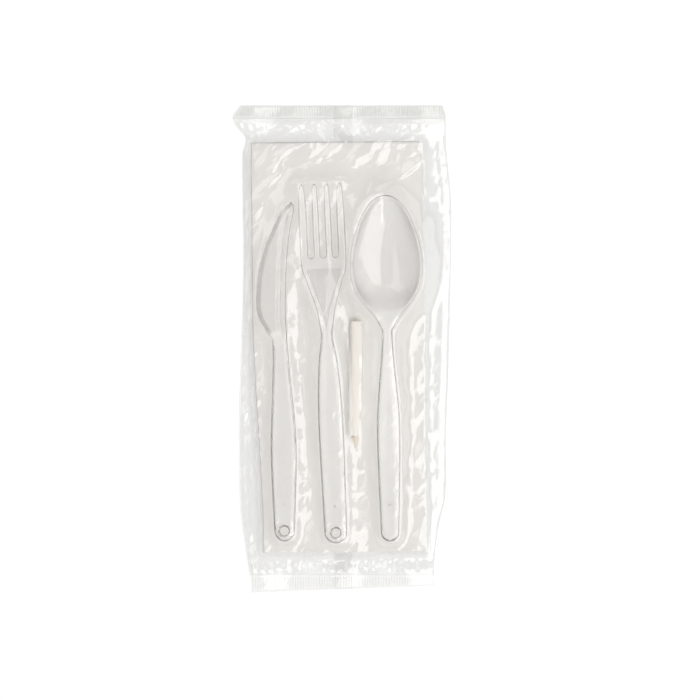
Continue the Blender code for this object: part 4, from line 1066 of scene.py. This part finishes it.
# The film is slacker beside the handles than by the heads, and is drawn tight over the bowl
by_heads = ease(-0.01, 0.055, film_y)
over_bowl = 1.4 - ((film_x - BOWL_AT[0]) / 0.019) ** 2 - ((film_y - BOWL_AT[1]) / 0.034) ** 2
limp = 1 + 1.6 * (1 - by_heads)
draped = laid_over(obstacle, held, SAG * limp * (1 - 0.95 * np.clip(over_bowl, 0, 1)))
from_end = np.minimum(down - TOP_SEAL, BOTTOM_START - down) * np.ones_like(u)
from_side = np.minimum(film_x - film_x[:, :1], film_x[:, -1:] - film_x)
slack = ease(0, 0.004, from_end) * ease(0, 0.003, from_side)

# The film is taut where it rests on a piece, and drawn smooth in the corner above the spoon
taut = ease(0.0038, 0.0043, obstacle)
for _ in range(3):
    taut = mean_beside(np.pad(taut, 1, mode="edge"))
smoothed = ease(0, 0.002, (film_x - 0.0200) * 0.61 - (film_y - 0.0779) * 0.79)
smoothed *= ease(0.0605, 0.0625, film_y)
smoothed *= ease(0.0185, 0.0205, film_x) * (1 - ease(0.0385, 0.0405, film_x))
crumple = 0.0015 * facets(film_x, film_y, 0.0072, 2.2, math.radians(38), 5)
crumple += 0.0009 * facets(film_x, film_y, 0.0041, 1.4, math.radians(62), 11)
crumple += creased(film_x, film_y)
crumple *= (1 - 0.9 * taut) * (1 - 0.92 * smoothed)
crumple *= 1 - 0.6 * (1 - ease(0.004, 0.016, from_side))
crumple *= 0.3 + 0.7 * by_heads
fine_crumple = 0.0010 * facets(film_x, film_y, 0.0036, 1.3, math.radians(58), 3)
fine_crumple *= (1 - 0.85 * taut) * (1 - 0.9 * smoothed) * (1 - 0.4 * by_heads)
crumple += fine_crumple

# Gathers fan out from each end seal and die away over a few millimetres
PLEATS = 45
GATHER_HEIGHT = 0.0018
GATHER_FALL = 0.0065
draw = np.random.default_rng(8)
pleats = draw.uniform(0.1, 1.0, PLEATS) * (np.arange(PLEATS) % 2)
lean = np.interp(u[0], np.linspace(0, 1, 9), draw.uniform(-1.1, 1.1, 9))
fanned = np.clip(u + lean * from_end / PACK_WIDTH, 0, 1)
gather = np.interp(fanned * (PLEATS - 1), np.arange(PLEATS), pleats)
gathers = GATHER_HEIGHT * gather * ease(0, 0.0015, from_end) * np.exp(-from_end / GATHER_FALL)
film_z = draped + (crumple + gathers) * slack
film_z[0], film_z[-1] = held[0], held[-1]
film_z[:, 0], film_z[:, -1] = held[:, 0], held[:, -1]


class FilmMesh:
    """Points and triangles of the film's wall, row by row."""

    def __init__(self):
        self.points, self.faces = [], []

    def row(self, x, y, z):
        start = len(self.points)
        self.points += list(zip(*(np.broadcast_to(v, np.shape(x)).tolist() for v in (x, y, z))))
        return list(range(start, start + len(x)))

    def join(self, first, second, turned=False):
        """Triangles between two rows that run the same way and may have different counts of points."""
        i = j = 0
        a, b = len(first) - 1, len(second) - 1
        while i < a or j < b:
            if j == b or (i < a and (i + 1) / a <= (j + 1) / b):
                face = (first[i], second[j], first[i + 1])
                i += 1
            else:
                face = (first[i], second[j], second[j + 1])
                j += 1
            self.faces.append(face[::-1] if turned else face)


def seal_rows(film, start, end, lift):
    """Rows across an end seal."""
    rows = []
    u = np.linspace(0, 1, SEAL_COLUMNS + 1)
    for step in np.linspace(start, end, 7):
        x, y = film_place(np.full(SEAL_COLUMNS + 1, step), u)
        rows.append(film.row(x, y, seal_height(u) + lift))
    return rows


def close_up(film, upper, lower, turned=False):
    """A closed skin between upper and lower rows, facing out, or facing in for the inside of a wall."""
    for line, next_line in zip(upper, upper[1:]):
        film.join(line, next_line, turned)
    for line, next_line in zip(lower, lower[1:]):
        film.join(line, next_line, not turned)
    film.join([line[0] for line in upper], [line[0] for line in lower], not turned)
    film.join([line[-1] for line in upper], [line[-1] for line in lower], turned)
    film.join(upper[0], lower[0], not turned)
    film.join(upper[-1], lower[-1], turned)


film = FilmMesh()
upper_out, upper_in, lower_out, lower_in = [], [], [], []
vent_row = int(np.searchsorted(down[:, 0], PACK_LENGTH / 2 - VENT_AT[1])) - 2
left, right = film_sides(PACK_LENGTH / 2 - VENT_AT[1])
beside_vent = (VENT_AT[0] - left + np.array((-0.0011, -0.0004, 0.0004, 0.0011))) / (right - left)
lower_u = np.sort(np.r_[np.linspace(0, 1, LOWER_COLUMNS + 1), beside_vent])
vent_column = int(np.searchsorted(lower_u, beside_vent[0]))
for r in range(FILM_ROWS + 1):
    upper_out.append(film.row(film_x[r], film_y[r], film_z[r] + FILM_THICKNESS))
    upper_in.append(film.row(film_x[r], film_y[r], film_z[r]))
    x, y = film_place(np.full(len(lower_u), down[r, 0]), lower_u)
    z = lower_height(np.full(len(lower_u), down[r, 0]), x)
    lower_in.append(film.row(x, y, z))
    lower_out.append(film.row(x, y, z - FILM_THICKNESS))
half_seal = FUSED + FILM_THICKNESS
close_up(film, seal_rows(film, 0.0, TOP_SEAL, half_seal)[:-1] + upper_out
         + seal_rows(film, BOTTOM_START, PACK_LENGTH, half_seal)[1:],
         seal_rows(film, 0.0, TOP_SEAL, -half_seal)[:-1] + lower_out
         + seal_rows(film, BOTTOM_START, PACK_LENGTH, -half_seal)[1:])
close_up(film, upper_in, lower_in, True)

# The fin seal starts at the seam and lies folded along the underside
fin_start = len(film.points)
fin_top, fin_low = [], []
fin_x = SEAM_X - FIN_WIDTH + (FIN_WIDTH + 0.0002) * np.linspace(0, 1, FIN_COLUMNS + 1) ** 0.8
for step in np.r_[np.linspace(0, 0.018, 16), np.linspace(0.022, PACK_LENGTH - 0.022, 60),
                  np.linspace(PACK_LENGTH - 0.018, PACK_LENGTH, 16)]:
    left, right = film_sides(step)
    steps = np.full(FIN_COLUMNS + 1, step)
    y = film_place(steps, (fin_x - left) / (right - left))[1]
    panel = lower_height(steps, fin_x) - FILM_THICKNESS
    flat = ease(TOP_SEAL, TOP_SEAL + TOP_RISE, step)
    flat = flat * (1 - ease(BOTTOM_START - BOTTOM_RISE, BOTTOM_START, step))
    gap = (OVER_FIN - UNDER_FIN + TABLE_GAP) * flat * (1 - ease(SEAM_X - 0.0008, SEAM_X, fin_x))
    fin_top.append(film.row(fin_x, y, panel - gap))
    fin_low.append(film.row(fin_x, y, panel - gap - UNDER_FIN))
close_up(film, fin_top, fin_low)

# The vent: a block of the underside's points is drawn to a circle, its faces are left out, and the film's
# edge closes the wall
border = [(0, 0), (0, 1), (0, 2), (0, 3), (1, 3), (2, 3), (3, 3), (3, 2), (3, 1), (3, 0), (2, 0), (1, 0)]
rims, inner = [], set()
for layer in (lower_in, lower_out):
    block = [line[vent_column:vent_column + 4] for line in layer[vent_row:vent_row + 4]]
    inner |= {i for line in block for i in line}
    rims.append([block[a][b] for a, b in border])
    for i in rims[-1]:
        x, y, z = film.points[i]
        away = math.hypot(x - VENT_AT[0], y - VENT_AT[1]) / VENT_RADIUS
        film.points[i] = (VENT_AT[0] + (x - VENT_AT[0]) / away, VENT_AT[1] + (y - VENT_AT[1]) / away, z)
film.faces = [face for face in film.faces if not inner.issuperset(face)]
for k in range(len(border)):
    film.faces += [(rims[0][k - 1], rims[1][k - 1], rims[1][k]), (rims[0][k - 1], rims[1][k], rims[0][k])]

clear_film, shader = new_material("clear_film")
fine = shader.noise(shader.here(), 340, 3.0, 0.6)
finer = shader.noise(shader.here((1, 0.5, 1)), 900, 2.0, 0.5)
relief = shader.bump(fine + finer * 0.4, 0.0002, 0.45)
gloss = shader.body({"Base Color": (0.96, 0.96, 0.955, 1), "Metallic": 1.0, "Roughness": 0.10,
                     "Normal": relief})
haze = shader.body({"Base Color": (0.9, 0.895, 0.88, 1), "Roughness": 0.8, "Specular IOR Level": 0.0})
facing = shader.node("ShaderNodeLayerWeight", {}, {"Blend": 0.5, "Normal": relief}, out="Facing")
lit_through = 1 - shader.node("ShaderNodeLightPath", out="Is Shadow Ray")
mirror = (0.047 + 0.75 * facing ** 5) * lit_through * (1 - 0.85 * shader.stored("welded"))
layers = shader.mixed(shader.stored("sealed") * (0.7 + 0.6 * finer), shader.clear(0.988, 0.987, 0.983),
                      shader.clear(0.86, 0.86, 0.845))
hazy = shader.mixed(0.012 + 0.012 * fine, layers, haze)
shader.surface(shader.mixed(mirror, hazy, gloss))
film_bag = place_piece("film_bag", film.points, film.faces, clear_film, (0, 0, 0))
film_bag.visible_shadow = False  # such thin film hardly dims the light
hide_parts("film_pack")

# How far each corner is in a crimped end seal, and whether it is on the fin
TOP_MILKY = 0.66
BOTTOM_MILKY = 0.12
along = np.array([v.co.y for v in film_bag.data.vertices])
welded = (np.arange(len(along)) >= fin_start).astype(float)
top, bottom = PACK_LENGTH / 2 - TOP_SEAL, BOTTOM_SEAL - PACK_LENGTH / 2
sealed = TOP_MILKY * ease(top - 0.0003, top + 0.0003, along)
sealed += BOTTOM_MILKY * ease(bottom + 0.0003, bottom - 0.0003, along)
set_corners(film_bag, "sealed", sealed * (1 - welded))
set_corners(film_bag, "welded", welded)


# Crimp ribs: the heated jaws press even ridges across both end seals, in the film itself. A Geometry Nodes
# tree sets them along each seal's middle line, shorter on the right where the bottom cut slants.

def rib_tree():
    """Ridges along a line of the mesh, with inputs for their pitch, length, width and height."""
    group = bpy.data.node_groups.new("crimp_ribs", "GeometryNodeTree")
    face = group.interface
    face.new_socket("Geometry", in_out="INPUT", socket_type="NodeSocketGeometry")
    for name in ("Rib spacing", "Rib length", "Length at right", "Rib width", "Rib height"):
        face.new_socket(name, in_out="INPUT", socket_type="NodeSocketFloat")
    face.new_socket("Film", in_out="INPUT", socket_type="NodeSocketMaterial")
    face.new_socket("Geometry", in_out="OUTPUT", socket_type="NodeSocketGeometry")

    def add(kind, links=(), **values):
        node = group.nodes.new(kind)
        for name, value in values.items():
            setattr(node, name, value)
        for name, source in links:
            if isinstance(source, bpy.types.NodeSocket):
                group.links.new(source, node.inputs[name])
            else:
                node.inputs[name].default_value = source
        return node.outputs

    given = add("NodeGroupInput")
    line = add("GeometryNodeMeshToCurve", [("Mesh", given["Geometry"])])[0]
    stops = add("GeometryNodeResampleCurve", [("Curve", line), ("Length", given["Rib spacing"])],
                mode="LENGTH")[0]
    rod = add("GeometryNodeMeshCylinder", [("Vertices", 12), ("Radius", 0.5), ("Depth", 1.0)])["Mesh"]
    size = add("ShaderNodeCombineXYZ", [("X", given["Rib width"]), ("Y", given["Rib height"]),
                                        ("Z", given["Rib length"])])[0]
    rib = add("GeometryNodeTransform", [("Geometry", rod), ("Rotation", (math.pi / 2, 0, 0)),
                                        ("Scale", size)])[0]
    ratio = add("ShaderNodeMath", [(0, given["Length at right"]), (1, given["Rib length"])],
                operation="DIVIDE")[0]
    place = add("GeometryNodeSplineParameter")["Factor"]
    share = add("ShaderNodeMix", [("Factor", place), ("A", 1.0), ("B", ratio)])[0]
    scale = add("ShaderNodeCombineXYZ", [("X", 1.0), ("Y", share), ("Z", 1.0)])[0]
    ribs = add("GeometryNodeInstanceOnPoints", [("Points", stops), ("Instance", rib), ("Scale", scale)])[0]
    real = add("GeometryNodeRealizeInstances", [("Geometry", ribs)])[0]
    done = add("GeometryNodeSetMaterial", [("Geometry", real), ("Material", given["Film"])])[0]
    add("NodeGroupOutput", [("Geometry", done)])
    return group


def crimp_ribs(name, start, end, sizes):
    """Ribs along the middle of the seal between two distances from the top cut."""
    u = np.linspace(0.012, 0.988, 121)
    x, y = film_place(np.full(len(u), (start + end) / 2), u)
    mesh = bpy.data.meshes.new(name)
    mesh.from_pydata(list(zip(x.tolist(), y.tolist(), seal_height(u).tolist())),
                     [(i, i + 1) for i in range(len(u) - 1)], [])
    ribs = bpy.data.objects.new(name, mesh)
    bpy.context.collection.objects.link(ribs)
    modifier = ribs.modifiers.new("ribs", "NODES")
    modifier.node_group = ridges
    for item in ridges.interface.items_tree:
        if item.in_out == "INPUT" and item.name in sizes:
            modifier[item.identifier] = sizes[item.name]
    found = bpy.data.meshes.new_from_object(ribs.evaluated_get(bpy.context.evaluated_depsgraph_get()))
    ribs.modifiers.clear()
    ribs.data = found
    ribs.data.shade_smooth()
    ribs.data.set_sharp_from_angle(angle=math.radians(50))
    ribs.visible_shadow = False
    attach(ribs, "root")


ridges = rib_tree()
rib_sizes = {"Rib spacing": 0.0013, "Rib width": 0.00055, "Rib height": 0.00046, "Film": clear_film}
crimp_ribs("top_crimp_ribs", 0.0, TOP_SEAL, {**rib_sizes, "Rib length": 0.0047, "Length at right": 0.0047})
crimp_ribs("bottom_crimp_ribs", BOTTOM_START, PACK_LENGTH,
           {**rib_sizes, "Rib length": 0.0072, "Length at right": 0.0040})
